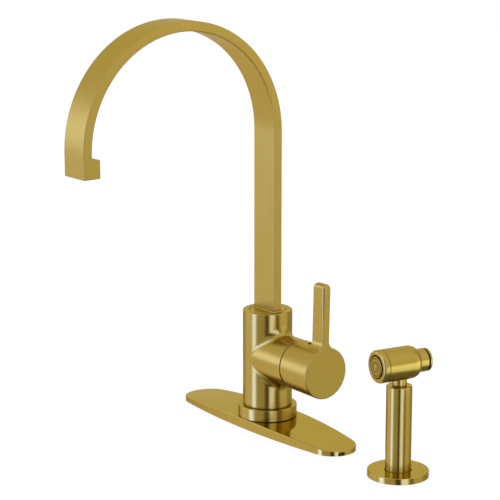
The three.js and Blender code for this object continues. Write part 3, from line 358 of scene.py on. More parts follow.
def brass(name, lines_from, roughness=0.25, anisotropic=0.0, bump=0.12):
    """Brushed brass whose lines come from a function of the sheet and the place."""
    material, sheet, shader, place = new_material(name)
    lines = lines_from(sheet, place)
    clouds = pattern(sheet, place, UP, 16, 16)
    tone = sheet.smooth_step(lines * 0.75 + clouds * 0.25, 0.36, 0.64)
    sheet.feed(shader, {
        "Base Color": sheet.mix_colours(tone, BRASS_DEEP, BRASS),
        "Metallic": 1.0,
        "Roughness": roughness - 0.05 + lines * 0.1,
        "Normal": sheet.grain(lines, bump),
        "Anisotropic": anisotropic,
        "Anisotropic Rotation": 0.25,
        "Specular Tint": BRASS_AT_THE_EDGE,
    })
    return material


def plain_metal(name, colour, dark, roughness):
    """Machined metal: fine turning marks and a little change of tone."""
    material, sheet, shader, place = new_material(name)
    marks = pattern(sheet, place, UP, 60, 2200)
    patches = pattern(sheet, place, UP, 90, 90, detail=3.0)
    tone = sheet.smooth_step(marks * 0.5 + patches * 0.5, 0.35, 0.65)
    sheet.feed(shader, {
        "Base Color": sheet.mix_colours(tone, dark, colour),
        "Metallic": 1.0,
        "Roughness": roughness - 0.06 + patches * 0.12,
        "Normal": sheet.grain(marks, 0.3),
    })
    return material


def moulded(name, colour, dark, roughness, pebble=900, strength=0.35):
    """Moulded plastic, rubber, foam or ceramic: a fine skin and a little change of tone."""
    material, sheet, shader, place = new_material(name)
    skin = pattern(sheet, place, UP, pebble, pebble, detail=3.0, roughness=0.6)
    patches = pattern(sheet, place, UP, 70, 70)
    tone = sheet.smooth_step(patches * 0.6 + skin * 0.4, 0.35, 0.65)
    sheet.feed(shader, {
        "Base Color": sheet.mix_colours(tone, dark, colour),
        "Roughness": roughness - 0.05 + skin * 0.1,
        "Normal": sheet.grain(skin, strength, 0.0001),
    })
    return material


HEAD_AXIS = (sin(radians(-HEAD_YAW)), cos(radians(-HEAD_YAW)), 0)

body_brass = brass("body brass", body_lines, anisotropic=0.75)
barrel_brass = brass("barrel brass", body_lines)
round_brass = brass("upright turned brass", brushed(UP), anisotropic=0.75)
head_brass = brass("sprayer head brass", brushed(HEAD_AXIS))
plate_brass = brass("plate brass", brushed(SIDEWAYS, turned=False), roughness=0.1, bump=0.03)
flange_brass = brass("flange brass", brushed(UP), roughness=0.12, bump=0.03)
strap_brass = brass("strap brass", strap_lines, roughness=0.34)
lever_brass = brass("lever brass", lever_lines, roughness=0.28)
raw_brass = plain_metal("machined brass", (0.5, 0.33, 0.09, 1), (0.4, 0.25, 0.06, 1), 0.36)
steel = plain_metal("machined steel", (0.5, 0.51, 0.52, 1), (0.38, 0.39, 0.4, 1), 0.34)
rubber = moulded("black rubber", grey(0.014), grey(0.008), 0.75)
foam = moulded("foam gasket", grey(0.05), grey(0.025), 0.9, 1400, 0.8)
black_plastic = moulded("black plastic", grey(0.016), grey(0.01), 0.45)
grey_plastic = moulded("grey plastic", (0.28, 0.29, 0.3, 1), (0.23, 0.24, 0.25, 1), 0.5)
ceramic = moulded("lapped ceramic", (0.84, 0.8, 0.73, 1), (0.78, 0.74, 0.67, 1), 0.2, 400, 0.1)


# ---- Meshes ----

MERGE_DISTANCE = 2e-6
SHARPEST_BEND = 38


def even(count):
    """The angles of a whole turn."""
    return [2 * pi * k / count for k in range(count)]


def circle(radius, height, angles, y=0):
    return [(radius * cos(a), y + radius * sin(a), height) for a in angles]


def swung(start, end, steps):
    """Vectors that swing evenly from one to the other, both included."""
    sweep = start.angle(end)
    out = []
    for k in range(steps + 1):
        first = sin((1 - k / steps) * sweep)
        second = sin(k / steps * sweep)
        out.append((start * first + end * second) / sin(sweep))
    return out


def eased(points, steps=4):
    """A profile whose corners with a third number are rounded to that radius."""
    out = []
    for i, point in enumerate(points):
        here = Vector(point[:2])
        if len(point) < 3:
            out.append(tuple(here))
            continue
        before = (Vector(points[i - 1][:2]) - here).normalized()
        after = (Vector(points[(i + 1) % len(points)][:2]) - here).normalized()
        half = before.angle(after) / 2
        centre = here + (before + after).normalized() * (point[2] / sin(half))
        start = here + before * (point[2] / tan(half)) - centre
        end = here + after * (point[2] / tan(half)) - centre
        out += [tuple(centre + ray) for ray in swung(start, end, steps)]
    return out


def border(across, along):
    """The outer points of a grid, once round."""
    edge = [(u, along[0]) for u in across[:-1]] + [(across[-1], v) for v in along[:-1]]
    return edge + [(u, along[-1]) for u in across[:0:-1]] + [(across[0], v) for v in along[:0:-1]]


def new_object(name, data):
    made = bpy.data.objects.new(name, data)
    bpy.context.scene.collection.objects.link(made)
    return made


class Shell:
    """Surfaces gathered in millimetres, then merged into one closed mesh with true normals."""

    def __init__(self, turn=None):
        self.turn = turn or Matrix.Identity(4)
        self.points = []
        self.faces = []
        self.rules = [None]

    def rule(self, true_normal):
        self.rules.append(true_normal)
        return len(self.rules) - 1

    def add(self, points):
        start = len(self.points)
        self.points += [tuple(point) for point in points]
        return start

    def strip(self, rows, round_row=False, round_rows=False, rule=0):
        """Four-sided faces between neighbouring rows of points."""
        start = self.add(point for row in rows for point in row)
        width = len(rows[0])
        count = len(rows)
        for i in range(count if round_rows else count - 1):
            low = start + i * width
            high = start + ((i + 1) % count) * width
            for j in range(width if round_row else width - 1):
                k = (j + 1) % width
                self.faces.append(((low + j, low + k, high + k, high + j), rule))

    def tube(self, rings, rule=0):
        self.strip(rings, round_row=True, rule=rule)

    def lid(self, ring):
        start = self.add(ring)
        self.faces.append((range(start, len(self.points)), 0))

    def turned(self, profile, angles=96, closed=False):
        """Turns [radius, height] pairs about the local Z."""
        angles = even(angles) if isinstance(angles, int) else angles
        self.strip([circle(r, z, angles) for r, z in profile], round_row=True, round_rows=closed)

    def punched(self, across, along, centre, rim, surface, steps=3, rule=0):
        """A patch of a surface, inside the given grid lines, with a hole. Returns the hole's edge."""
        edge = border(across, along)
        wide = (across[-1] - across[0]) / 2
        tall = (along[-1] - along[0]) / 2
        hole = [rim(atan2((v - centre[1]) / tall, (u - centre[0]) / wide)) for u, v in edge]
        rows = []
        for k in range(steps + 1):
            share = k / steps
            pairs = [(p[0] + (q[0] - p[0]) * share, p[1] + (q[1] - p[1]) * share)
                     for p, q in zip(edge, hole)]
            rows.append([surface(u, v) for u, v in pairs])
        self.tube(rows, rule)
        return rows[-1]

    def flat(self, *rings):
        """A flat face inside the first ring, with the others as holes."""
        loops = [[Vector(point) for point in ring] for ring in rings]
        start = self.add(point for ring in rings for point in ring)
        for corners in tessellate_polygon(loops):
            self.faces.append(([start + k for k in corners], 0))

    def take(self, mesh):
        """Adds a mesh that is in metres."""
        start = self.add(vertex.co / MM for vertex in mesh.vertices)
        for face in mesh.polygons:
            self.faces.append(([start + v for v in face.vertices], 0))

    def mesh(self, name):
        bm = bmesh.new()
        mark = bm.faces.layers.int.new("rule")
        corners = [bm.verts.new(self.turn @ Vector(point) * MM) for point in self.points]
        for face, rule in self.faces:
            bm.faces.new([corners[k] for k in face])[mark] = rule
        bmesh.ops.remove_doubles(bm, verts=bm.verts, dist=MERGE_DISTANCE)
        bmesh.ops.dissolve_degenerate(bm, edges=bm.edges, dist=1e-8)
        bmesh.ops.recalc_face_normals(bm, faces=bm.faces)
        open_edges = sum(1 for edge in bm.edges if len(edge.link_faces) != 2)
        if open_edges:
            print("open edges on", name, open_edges)
        mesh = bpy.data.meshes.new(name)
        bm.to_mesh(mesh)
        bm.free()
        self.lay_normals(mesh)
        return mesh

    def lay_normals(self, mesh):
        """Large faces stay flat, small ones carry the bend, and a rule gives a curved face's own."""
        limit = cos(radians(SHARPEST_BEND))
        around = [[] for _ in mesh.vertices]
        faces = [(face.normal.copy(), face.area) for face in mesh.polygons]
        for face in mesh.polygons:
            for vertex in face.vertices:
                around[vertex].append(face.index)
        rules = [self.rules[item.value] for item in mesh.attributes["rule"].data]
        back = self.turn.inverted()
        spin = self.turn.to_3x3()
        normals = []
        for face in mesh.polygons:
            own = faces[face.index][0]
            rule = rules[face.index]
            for vertex in face.vertices:
                if rule:
                    normal = spin @ Vector(rule(back @ (mesh.vertices[vertex].co / MM)))
                    if normal.dot(own) < 0:
                        normal.negate()
                else:
                    normal = Vector()
                    for other in around[vertex]:
                        facing, area = faces[other]
                        if facing.dot(own) > limit:
                            normal += facing * area
                normals.append(normal.normalized())
        mesh.attributes.remove(mesh.attributes["rule"])
        mesh.shade_smooth()
        mesh.normals_split_custom_set(normals)


def dress(name, shell, body, nodes, material, slot="brushed_brass"):
    """Makes a piece of the shell, which rides on a body and stands for CAD nodes."""
    mesh = shell.mesh(name)
    piece = new_object(name, mesh)
    mesh.materials.clear()
    mesh.materials.append(material)
    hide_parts(*nodes)
    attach(piece, body)
    return piece


def turn_piece(name, body, node, material, profile, angles=96, closed=True, turn=None, steps=4, **slot):
    """A piece that a lathe would make, from its profile of [radius, height] points."""
    shell = Shell(turn)
    shell.turned(eased(profile, steps), angles, closed)
    dress(name, shell, body, [node], material, **slot)


# ---- Deck plate and base ring ----

def plate_edge(half_length, half_width, end_radius, end_steps=28, side_steps=72):
    """Half of the plate's outline, from its +X end to its -X end."""
    end_centre = half_length - end_radius
    side_radius = (end_centre ** 2 + half_width ** 2 - end_radius ** 2) / (2 * (half_width - end_radius))
    side_centre = half_width - side_radius
    meet = atan2(-side_centre, end_centre)
    points = []
    for k in range(end_steps + 1):
        t = meet * (k / end_steps) ** 1.5
        points.append((end_centre + end_radius * cos(t), end_radius * sin(t)))
    mirrored = [(-x, y) for x, y in reversed(points)]
    for k in range(1, side_steps):
        t = meet + (pi - 2 * meet) * k / side_steps
        points.append((side_radius * cos(t), side_centre + side_radius * sin(t)))
    return points + mirrored


def plate_top_at(x):
    return PLATE_HEIGHT - PLATE_CROWN * (x / PLATE_HALF_LENGTH) ** 2


def make_plate(edge=0.9, edge_steps=5, across=12):
    rings = []
    for k in range(edge_steps + 1):
        turn = pi / 2 * k / edge_steps
        inset = edge * (1 - cos(turn))
        drop = edge * (1 - sin(turn))
        outline = plate_edge(PLATE_HALF_LENGTH - inset, PLATE_HALF_WIDTH - inset, PLATE_END_RADIUS - inset)
        rings.append([(x, y, plate_top_at(x) - drop) for x, y in outline])
    foot = [(x, y, 0) for x, y, _ in rings[0]]
    cavity = plate_edge(
        PLATE_HALF_LENGTH - PLATE_SOLID_END, PLATE_HALF_WIDTH - PLATE_WALL, PLATE_END_RADIUS - PLATE_WALL,
    )
    rows = []
    for k, (x, y) in enumerate(cavity):
        roof = max(plate_top_at(x) - PLATE_ROOF, PLATE_LOWEST_ROOF)
        side = [(x, y, roof), (x, y, 0), foot[k]] + [ring[k] for ring in rings]
        top = side[-1]
        middle = [(top[0], top[1] * (1 - 2 * j / across), top[2]) for j in range(1, across)]
        rows.append(side + middle + [(p[0], -p[1], p[2]) for p in reversed(side)])
    shell = Shell()
    shell.tube(rows)
    dress("plate", shell, "faucet_base", ["deck_plate"], plate_brass)


def make_base_ring():
    turn_piece("ring_under_body", "faucet_base", "base_ring", round_brass, [
        (RING_BORE, RING_LOW), (RING_RADIUS, RING_LOW, 0.3), (RING_RADIUS, RING_TOP, 0.8),
        (RING_BORE, RING_TOP),
    ], 120)


# ---- Body with its side barrel ----

def on_body(degrees, height):
    angle = radians(degrees)
    return (BODY_RADIUS * cos(angle), BODY_RADIUS * sin(angle), height)


def barrel_blend(turns, steps=10):
    """The fillet that a ball of its radius leaves as it rolls round the foot of the barrel."""
    reach = BODY_RADIUS + BARREL_FILLET
    lift = BARREL_RADIUS + BARREL_FILLET
    rows = []
    for t in turns:
        y = lift * cos(t)
        z = lift * sin(t)
        x = sqrt(reach ** 2 - y ** 2)
        ball = Vector((x, y, z + BARREL_HEIGHT))
        to_body = Vector((-x, -y, 0)).normalized()
        to_barrel = Vector((0, -y, -z)).normalized()
        rows.append([ball + ray * BARREL_FILLET for ray in swung(to_body, to_barrel, steps)])
    return rows


def make_body():
    shell = Shell()
    upright = shell.rule(lambda p: (p.x, p.y, 0))
    sideways = shell.rule(lambda p: (0, p.y, p.z - BARREL_HEIGHT))
    reach = BODY_RADIUS + BARREL_FILLET
    lift = BARREL_RADIUS + BARREL_FILLET
    step = 3
    side = 84  # degrees from the barrel's bearing to the edge of the patch round its foot
    block_low = 95
    block_high = 102
    low = BARREL_HEIGHT - BLEND_REACH
    high = BARREL_HEIGHT + BLEND_REACH
    levels = [low + (high - low) * k / 20 for k in range(21)]
    levels = sorted(set(levels + [block_low, block_high]))

    def foot_of_fillet(turn):
        sine = lift * cos(turn) / reach
        return (degrees(asin(sine)), BARREL_HEIGHT + lift * sin(turn))

    front = list(range(-side, side + 1, step))
    shell.punched(front, levels, (0, BARREL_HEIGHT), foot_of_fillet, on_body, steps=8, rule=upright)
    turns = [atan2((v - BARREL_HEIGHT) / BLEND_REACH, u / side) for u, v in border(front, levels)]
    blend = barrel_blend(turns)
    shell.strip(blend, round_rows=True)

    # The barrel, its broken edge and the bore for the cartridge
    rim = eased([(0, BARREL_RADIUS), (BARREL_REACH, BARREL_RADIUS, SEAM_EDGE), (BARREL_REACH, 0)])[1:-1]
    rim += [(BARREL_REACH, CARTRIDGE_BORE), (CARTRIDGE_FLOOR, CARTRIDGE_BORE), (CARTRIDGE_FLOOR, 0)]

    def barrel_ring(points):
        return [(x, r * cos(t), BARREL_HEIGHT + r * sin(t)) for (x, r), t in zip(points, turns)]

    starts = [row[-1].x for row in blend]
    straight = [[(x + (rim[0][0] - x) * k / 8, BARREL_RADIUS) for x in starts] for k in range(9)]
    shell.tube([barrel_ring(points) for points in straight], sideways)
    shell.tube([barrel_ring([point] * len(turns)) for point in rim])

    # The rest of the body's wall, with the hole for the spout's retaining screw at the back
    back = list(range(side, 360 - side + 1, step))
    screw_block = back[:5]
    beside = [v for v in levels if block_low <= v <= block_high]
    shell.strip([[on_body(u, v) for u in back] for v in levels if v <= block_low], rule=upright)
    shell.strip([[on_body(u, v) for u in back if u >= screw_block[-1]] for v in beside], rule=upright)
    shell.strip([[on_body(u, v) for u in back] for v in levels if v >= block_high], rule=upright)

    def screw_rim(turn):
        sine = SCREW_HOLE * cos(turn) / BODY_RADIUS
        return (90 + degrees(asin(sine)), SCREW_HEIGHT + SCREW_HOLE * sin(turn))

    hole = shell.punched(screw_block, beside, (90, SCREW_HEIGHT), screw_rim, on_body, rule=upright)
    end = [(p[0], SCREW_HOLE_END, p[2]) for p in hole]
    shell.tube([hole, end, [(0, SCREW_HOLE_END, SCREW_HEIGHT)] * len(hole)])

    # Top with the pocket for the collar and stem, and foot with its spigot
    angles = list(range(-side, 360 - side, step))

    def wall(*heights):
        shell.tube([[on_body(u, v) for u in angles] for v in heights], upright)

    bearings = [radians(u) for u in angles]
    pocket = COLLAR_RADIUS + CLEARANCE
    stem_bore = STEM_RADIUS + CLEARANCE
    wall(high, high + 3, high + 6, BODY_TOP - BODY_EDGE)
    top = eased([(BODY_RADIUS, high), (BODY_RADIUS, BODY_TOP, BODY_EDGE), (0, BODY_TOP)])[1:-1]
    shell.turned(top + [
        (pocket + COLLAR_EDGE, BODY_TOP), (pocket, BODY_TOP - COLLAR_EDGE), (pocket, COLLAR_SEAT - CLEARANCE),
        (stem_bore, COLLAR_SEAT - CLEARANCE), (stem_bore, STEM_LOW - CLEARANCE), (0, STEM_LOW - CLEARANCE),
    ], bearings)
    foot_edge = 0.3
    wall(low, low - 6, low - 12, BODY_LOW + foot_edge)
    foot = eased([(BODY_RADIUS, low), (BODY_RADIUS, BODY_LOW, foot_edge), (0, BODY_LOW)])[1:-1]
    shell.turned(foot + [
        (SPIGOT_RADIUS, BODY_LOW), (SPIGOT_RADIUS, RING_LOW), (SHANK_RADIUS + CLEARANCE, RING_LOW),
        (SHANK_RADIUS + CLEARANCE, SHANK_TOP + CLEARANCE), (0, SHANK_TOP + CLEARANCE),
    ], bearings)
    body = dress("body_with_barrel", shell, "faucet_base", ["valve_body"], body_brass)
    body.data.materials.append(barrel_brass)
    for face in body.data.polygons:
        if face.center.xy.length > (BODY_RADIUS + 0.3) * MM:
            face.material_index = 1


# ---- Spout ----

def bent_strap():
    """The strap's path and section, swept from the body's top to the top of the hook."""
    recipe = Recipe(
        "bent strap",
        Width=STRAP_WIDTH * MM,
        Thickness=STRAP_THICKNESS * MM,
        Edge=STRAP_EDGE * MM,
        Foot=STRAP_FOOT * MM,
        Spring_line=SPRING_LINE * MM,
        Arch_radius=ARCH_RADIUS * MM,
        Tip=HOOK_TOP * MM,
        Steps=260,
        Finish=strap_brass,
    )
    radius = recipe["Arch_radius"]
    rise = recipe["Spring_line"] - recipe["Foot"]
    turn = radius * pi
    length = rise + turn + (recipe["Spring_line"] - recipe["Tip"])
    walked = recipe.node("GeometryNodeSplineParameter") * length
    angle = recipe.maths("MINIMUM", recipe.maths("MAXIMUM", walked - rise, 0.0), turn) / radius
    climbed = recipe.maths("MINIMUM", walked, rise)
    dropped = recipe.maths("MAXIMUM", walked - rise - turn, 0.0)
    place = recipe.joined(
        0.0,
        radius * (recipe.maths("COSINE", angle) - 1.0),
        recipe["Foot"] + climbed + radius * recipe.maths("SINE", angle) - dropped,
    )
    line = recipe.node("GeometryNodeCurvePrimitiveLine")
    stations = recipe.node("GeometryNodeResampleCurve", {"Curve": line, "Count": recipe["Steps"]})
    path = recipe.node("GeometryNodeSetPosition", {"Geometry": stations, "Position": place})
    sides = {"Width": recipe["Width"], "Height": recipe["Thickness"]}
    outline = recipe.node("GeometryNodeCurvePrimitiveQuadrilateral", sides)
    rounding = {"Curve": outline, "Count": 3, "Radius": recipe["Edge"]}
    section = recipe.node("GeometryNodeFilletCurve", rounding, mode="POLY")
    return recipe.bake(recipe.node("GeometryNodeCurveToMesh", {"Curve": path, "Profile Curve": section}))


def strap_ring(near, far, height, inset=0.0):
    """The strap's section at a height, between two places along Y."""
    half = STRAP_WIDTH / 2
    edge = STRAP_EDGE
    ring = []
    for x, y, start in [(-half, far, 180), (half, far, 270), (half, near, 0), (-half, near, 90)]:
        centre_x = x - copysign(edge, x)
        centre_y = y + edge if y == far else y - edge
        for k in range(4):
            turn = radians(start + 30 * k)
            reach = edge - inset
            ring.append((centre_x + reach * cos(turn), centre_y + reach * sin(turn), height))
    return ring


def make_spout():
    shell = Shell()
    shell.take(bent_strap())
    foot = STRAP_THICKNESS / 2
    shell.lid(strap_ring(foot, -foot, STRAP_FOOT))
    outer = -2 * ARCH_RADIUS - foot
    inner = -2 * ARCH_RADIUS + foot
    ledge = inner + HOOK_REACH
    rings = [strap_ring(inner, outer, HOOK_TOP)]
    for k in range(4):
        turn = radians(30 * k)
        drop = HOOK_EDGE * (1 - cos(turn))
        rings.append(strap_ring(ledge - HOOK_EDGE + HOOK_EDGE * sin(turn), outer, HOOK_TOP - drop))
    rings += [strap_ring(ledge, outer, HOOK_TOP - 9), strap_ring(ledge, outer, TIP_LOW + TIP_EDGE)]
    for k in range(1, 4):
        turn = radians(30 * k)
        rings.append(strap_ring(
            ledge, outer, TIP_LOW + TIP_EDGE * (1 - sin(turn)), TIP_EDGE * (1 - cos(turn)),
        ))
    shell.tube(rings)

    # The hook's underside, with the bore for the aerator
    bore = AERATOR_RADIUS + CLEARANCE
    bore_edge = 0.4
    bore_end = TIP_LOW + 11.6

    steps = [(bore + bore_edge, TIP_LOW), (bore, TIP_LOW + bore_edge), (bore, bore_end), (0, bore_end)]
    bored = [circle(*step, even(64), OUTLET_PLACE) for step in steps]
    shell.flat(rings[-1], bored[0])
    shell.tube(bored)
    dress("strap_spout", shell, "spout_assembly", ["spout"], strap_brass)


def make_collar():
    """The round foot that turns in the body's top, with the pocket that holds the strap."""
    shell = Shell()
    foot = STRAP_THICKNESS / 2 + CLEARANCE
    lip_rise = 1

    def around_strap(gap, height):
        ring = strap_ring(foot + gap, -foot - gap, height)
        return [(x + copysign(CLEARANCE + gap, x), y, z) for x, y, z in ring]

    lip_foot = around_strap(1.8, BODY_TOP)
    lip = around_strap(0.8, BODY_TOP + lip_rise)
    pocket = around_strap(0, BODY_TOP + lip_rise)
    floor = around_strap(0, POCKET_FLOOR)
    shell.flat(circle(COLLAR_RADIUS - COLLAR_EDGE, BODY_TOP, even(96)), lip_foot)
    shell.tube([lip_foot, lip, pocket, floor])
    shell.flat(floor, circle(STEM_BORE, POCKET_FLOOR, even(96)))
    outside = [
        (COLLAR_RADIUS - COLLAR_EDGE, BODY_TOP), (COLLAR_RADIUS, BODY_TOP - COLLAR_EDGE),
        (COLLAR_RADIUS, COLLAR_SEAT), (STEM_RADIUS, COLLAR_SEAT),
    ]
    for height, half, bottom in STEM_GROOVES:
        outside += [(STEM_RADIUS, height + half), (bottom, height + half)]
        outside += [(bottom, height - half), (STEM_RADIUS, height - half)]
    outside += [(STEM_RADIUS, STEM_LOW), (STEM_BORE, STEM_LOW), (STEM_BORE, POCKET_FLOOR)]
    shell.turned(outside)
    dress("spout_foot", shell, "spout_assembly", ["spout_collar"], round_brass)


def make_aerator_housing():
    shelf_bore = AERATOR_BORE - 1.2
    turn_piece("aerator_sleeve", "spout_assembly", "aerator_housing", round_brass, [
        (AERATOR_BORE, AERATOR_LOW, 0.3), (AERATOR_RADIUS, AERATOR_LOW, 0.5), (AERATOR_RADIUS, AERATOR_TOP),
        (shelf_bore, AERATOR_TOP), (shelf_bore, AERATOR_SHELF), (AERATOR_BORE, AERATOR_SHELF),
    ], 64, turn=Matrix.Translation((0, OUTLET_PLACE, 0)))


# ---- Handle: hub and blade in one casting ----

FILLET_STEPS = 14

# Where the blade's rows of points lie, measured from its front face and from its back
FROM_FACE = [0, 0.09, 0.26, 0.5, 0.8, HUB_EDGE, 1.6, 1.9, 2.3, 2.8, 3.4, 5, 7, 9, 11, 13]
FROM_BACK = [3.4, 2.8, 2.2, 1.6, 1.1, 0.8, 0.55, 0.35, 0.2, 0.08, 0]

# The patch of the hub's wall that holds the set screw: points of the ring and millimetres to either side
SCREW_PATCH = 4
SCREW_PATCH_REACH = 5
SET_SCREW_FLOOR = 3.6


def round_barrel(x, radius, turn):
    """A point on a ring round the barrel's axis."""
    return (x, radius * cos(turn), radius * sin(turn))


def keyhole(radius, inset=0.0, top=LEVER_TOP):
    """The outline of disc and blade, seen along the barrel: (across, up) pairs from the disc's
    right tangent point, over the blade, to the left one. Then the rest of the disc, and the
    tangent point's bearing."""
    across = LEVER_HALF + LEVER_FILLET
    centre_up = sqrt((radius + LEVER_FILLET) ** 2 - across ** 2)
    tangent = atan2(centre_up, across)
    half = LEVER_HALF - inset
    fillet = LEVER_FILLET + inset
    corner = max(LEVER_TOP_ROUND - inset, 0.5)
    top_at = top - inset
    right = []
    for k in range(FILLET_STEPS + 1):
        turn = pi + tangent - tangent * k / FILLET_STEPS
        right.append((across + fillet * cos(turn), centre_up + fillet * sin(turn)))
    for k in range(1, 13):
        right.append((half, centre_up + (top_at - corner - centre_up) * k / 12))
    for k in range(1, 9):
        turn = radians(11.25 * k)
        right.append((half - corner + corner * cos(turn), top_at - corner + corner * sin(turn)))
    blade = right + [(0, top_at)] + [(-x, y) for x, y in reversed(right)]
    disc = []
    for k in range(1, 120):
        turn = pi - tangent + (pi + 2 * tangent) * k / 120
        disc.append(((radius - inset) * cos(turn), (radius - inset) * sin(turn)))
    return blade, disc, tangent


def leaning(x, up):
    foot = sqrt((HUB_FACE_RADIUS + LEVER_FILLET) ** 2 - (LEVER_HALF + LEVER_FILLET) ** 2)
    return x + tan(radians(LEVER_LEAN)) * max(0.0, up - foot)


def seam_at(radius, turn):
    """How near the barrel the hub's rim may come, so that the handle can tip out."""
    slope = tan(radians(TILT_RANGE))
    start = TILT_PIVOT + (BARREL_REACH + CLEARANCE - TILT_PIVOT) / cos(radians(TILT_RANGE))
    return max(HUB_LOW, start - slope * (radius * sin(turn)))


def hub_radius_at(x):
    share = (x - HUB_LOW) / (HUB_TOP - HUB_LOW)
    return HUB_SEAM_RADIUS + (HUB_FACE_RADIUS - HUB_SEAM_RADIUS) * share


def on_hub(x, turn):
    return round_barrel(x, hub_radius_at(x), turn)


def set_back(distance, edge):
    """How far a rounded edge stands back, at a distance from the face."""
    if distance >= edge:
        return 0.0
    return edge - sqrt(edge ** 2 - (edge - distance) ** 2)


def rounder_as_it_rises(blade, distance):
    """The long edge toward the user has a larger round near the blade's top."""
    out = []
    for across, up in blade:
        share = min(max((up - SOFT_EDGE_START) / (SOFT_EDGE_FULL - SOFT_EDGE_START), 0.0), 1.0)
        edge = HUB_EDGE + (SOFT_EDGE - HUB_EDGE) * share * share * (3 - 2 * share)
        extra = set_back(distance, edge) - set_back(distance, HUB_EDGE)
        side = min(max(-across / LEVER_HALF, 0.0), 1.0)
        out.append((across + extra * side, up))
    return out


def drawn_in(blade, pulled):
    """The blade's rounded back edge, which runs out where its fillet meets the hub."""
    root = blade[0][1]
    foot = blade[FILLET_STEPS][1]
    out = []
    for (px, py), (qx, qy) in zip(blade, pulled):
        share = min(max((py - root) / (foot - root), 0.0), 1.0)
        out.append((px + (qx - px) * share, py + (qy - py) * share))
    return out


def make_handle():
    shell = Shell(Matrix.Translation((0, 0, BARREL_HEIGHT)))
    round_wall = shell.rule(lambda p: (0, p.y, p.z))

    # Keyhole-shaped part, from the flat end face to the blade's back
    depth = HUB_TOP - LEVER_LOW
    blades = []
    discs = []
    for distance in FROM_FACE + [depth - d for d in FROM_BACK]:
        x = HUB_TOP - distance
        radius = hub_radius_at(x)
        drop = set_back(distance, LEVER_CORNER) + set_back(depth - distance, LEVER_CORNER)
        blade, disc, _ = keyhole(radius, set_back(distance, HUB_EDGE), LEVER_TOP - drop)
        blade = rounder_as_it_rises(blade, distance)
        back_inset = set_back(depth - distance, LEVER_EDGE)
        if back_inset:
            blade = drawn_in(blade, keyhole(radius, back_inset, LEVER_TOP - drop)[0])
        blades.append([(leaning(x, up), across, up) for across, up in blade])
        discs.append([(x, across, up) for across, up in disc])
    shell.strip(blades)
    wall = [[blade[-1]] + disc + [blade[0]] for blade, disc in zip(blades, discs)]
    edge_end = FROM_FACE.index(HUB_EDGE)
    shell.strip(wall[:edge_end + 1])
    shell.strip(wall[edge_end:], rule=round_wall)
    shell.lid(blades[0] + discs[0])

    # Back of the blade, closed by the arc that it hides on the hub
    rear = hub_radius_at(LEVER_LOW)
    tangent = keyhole(rear)[2]
    hidden = [round_barrel(LEVER_LOW, rear, tangent + (pi - 2 * tangent) * k / 24) for k in range(25)]
    shell.lid(blades[-1] + hidden[-2:0:-1])

    # The hub's rounded rim at the seam
    ring = [atan2(up, across) % (2 * pi) for _, across, up in hidden[:-1] + wall[-1][:-1]]
    rows = []
    for k in range(6):
        lean = radians(18 * k)
        inset = SEAM_EDGE * (1 - sin(lean))
        row = []
        for turn in ring:
            x = seam_at(HUB_SEAM_RADIUS, turn) + SEAM_EDGE * (1 - cos(lean))
            row.append(round_barrel(x, hub_radius_at(x) - inset, turn))
        rows.append(row)
    shell.tube(rows)

    # The hub's wall up to the blade, with the hole for the set screw
    starts = [point[0] for point in rows[-1]]
    middle = min(range(len(ring)), key=lambda k: abs(ring[k] - pi / 2))
    span = LEVER_LOW - starts[middle]
    low = (SET_SCREW_PLACE - SCREW_PATCH_REACH - starts[middle]) / span
    high = (SET_SCREW_PLACE + SCREW_PATCH_REACH - starts[middle]) / span
    shares = [0, low / 2, low] + [low + (high - low) * k / 4 for k in range(1, 5)]
    shares += [high + (1 - high) / 2, 1]
    grid = [[on_hub(x + (LEVER_LOW - x) * share, turn) for x, turn in zip(starts, ring)] for share in shares]
    shell.tube(grid[:3], round_wall)
    shell.tube(grid[6:], round_wall)
    count = len(ring)
    around = [j % count for j in range(middle + SCREW_PATCH, middle - SCREW_PATCH + count + 1)]
    shell.strip([[row[j] for j in around] for row in grid[2:7]], rule=round_wall)

    def screw_rim(turn):
        lift = asin(SET_SCREW_HOLE * sin(turn) / hub_radius_at(SET_SCREW_PLACE))
        return (SET_SCREW_PLACE + SET_SCREW_HOLE * cos(turn), pi / 2 + lift)

    across = [row[middle][0] for row in grid[2:7]]
    turns = ring[middle - SCREW_PATCH:middle + SCREW_PATCH + 1]
    hole = shell.punched(across, turns, (SET_SCREW_PLACE, pi / 2), screw_rim, on_hub, rule=round_wall)
    bore = [[(p[0], p[1], z) for p in hole] for z in (22.5, 10, SET_SCREW_FLOOR)]
    shell.tube([hole] + bore + [[(SET_SCREW_PLACE, 0, SET_SCREW_FLOOR)] * len(hole)])

    # Inside of the hub: the cavity and the boss that holds the stem
    def inner_ring(radius, x):
        return [round_barrel(x, radius, turn) for turn in ring]

    lip = [round_barrel(seam_at(HUB_CAVITY_RADIUS, turn), HUB_CAVITY_RADIUS, turn) for turn in ring]
    shell.tube([
        rows[0], lip, inner_ring(HUB_CAVITY_RADIUS, HUB_CAVITY_END), inner_ring(BOSS_RADIUS, HUB_CAVITY_END),
        inner_ring(BOSS_RADIUS, BOSS_END), inner_ring(STEM_SOCKET_RADIUS, BOSS_END),
        inner_ring(STEM_SOCKET_RADIUS, STEM_SOCKET_END), inner_ring(0, STEM_SOCKET_END),
    ])
    dress("lever_handle", shell, "lever", ["handle"], lever_brass)


# ---- Side sprayer ----

SPRAYER_TURN = Matrix.Translation((SPRAYER_PLACE, 0, 0))
HEAD_TURN = (
    Matrix.Translation((SPRAYER_PLACE, 0, HEAD_HEIGHT))
    @ Matrix.Rotation(radians(HEAD_YAW), 4, "Z")
    @ Matrix.Rotation(radians(-90), 4, "X")
)


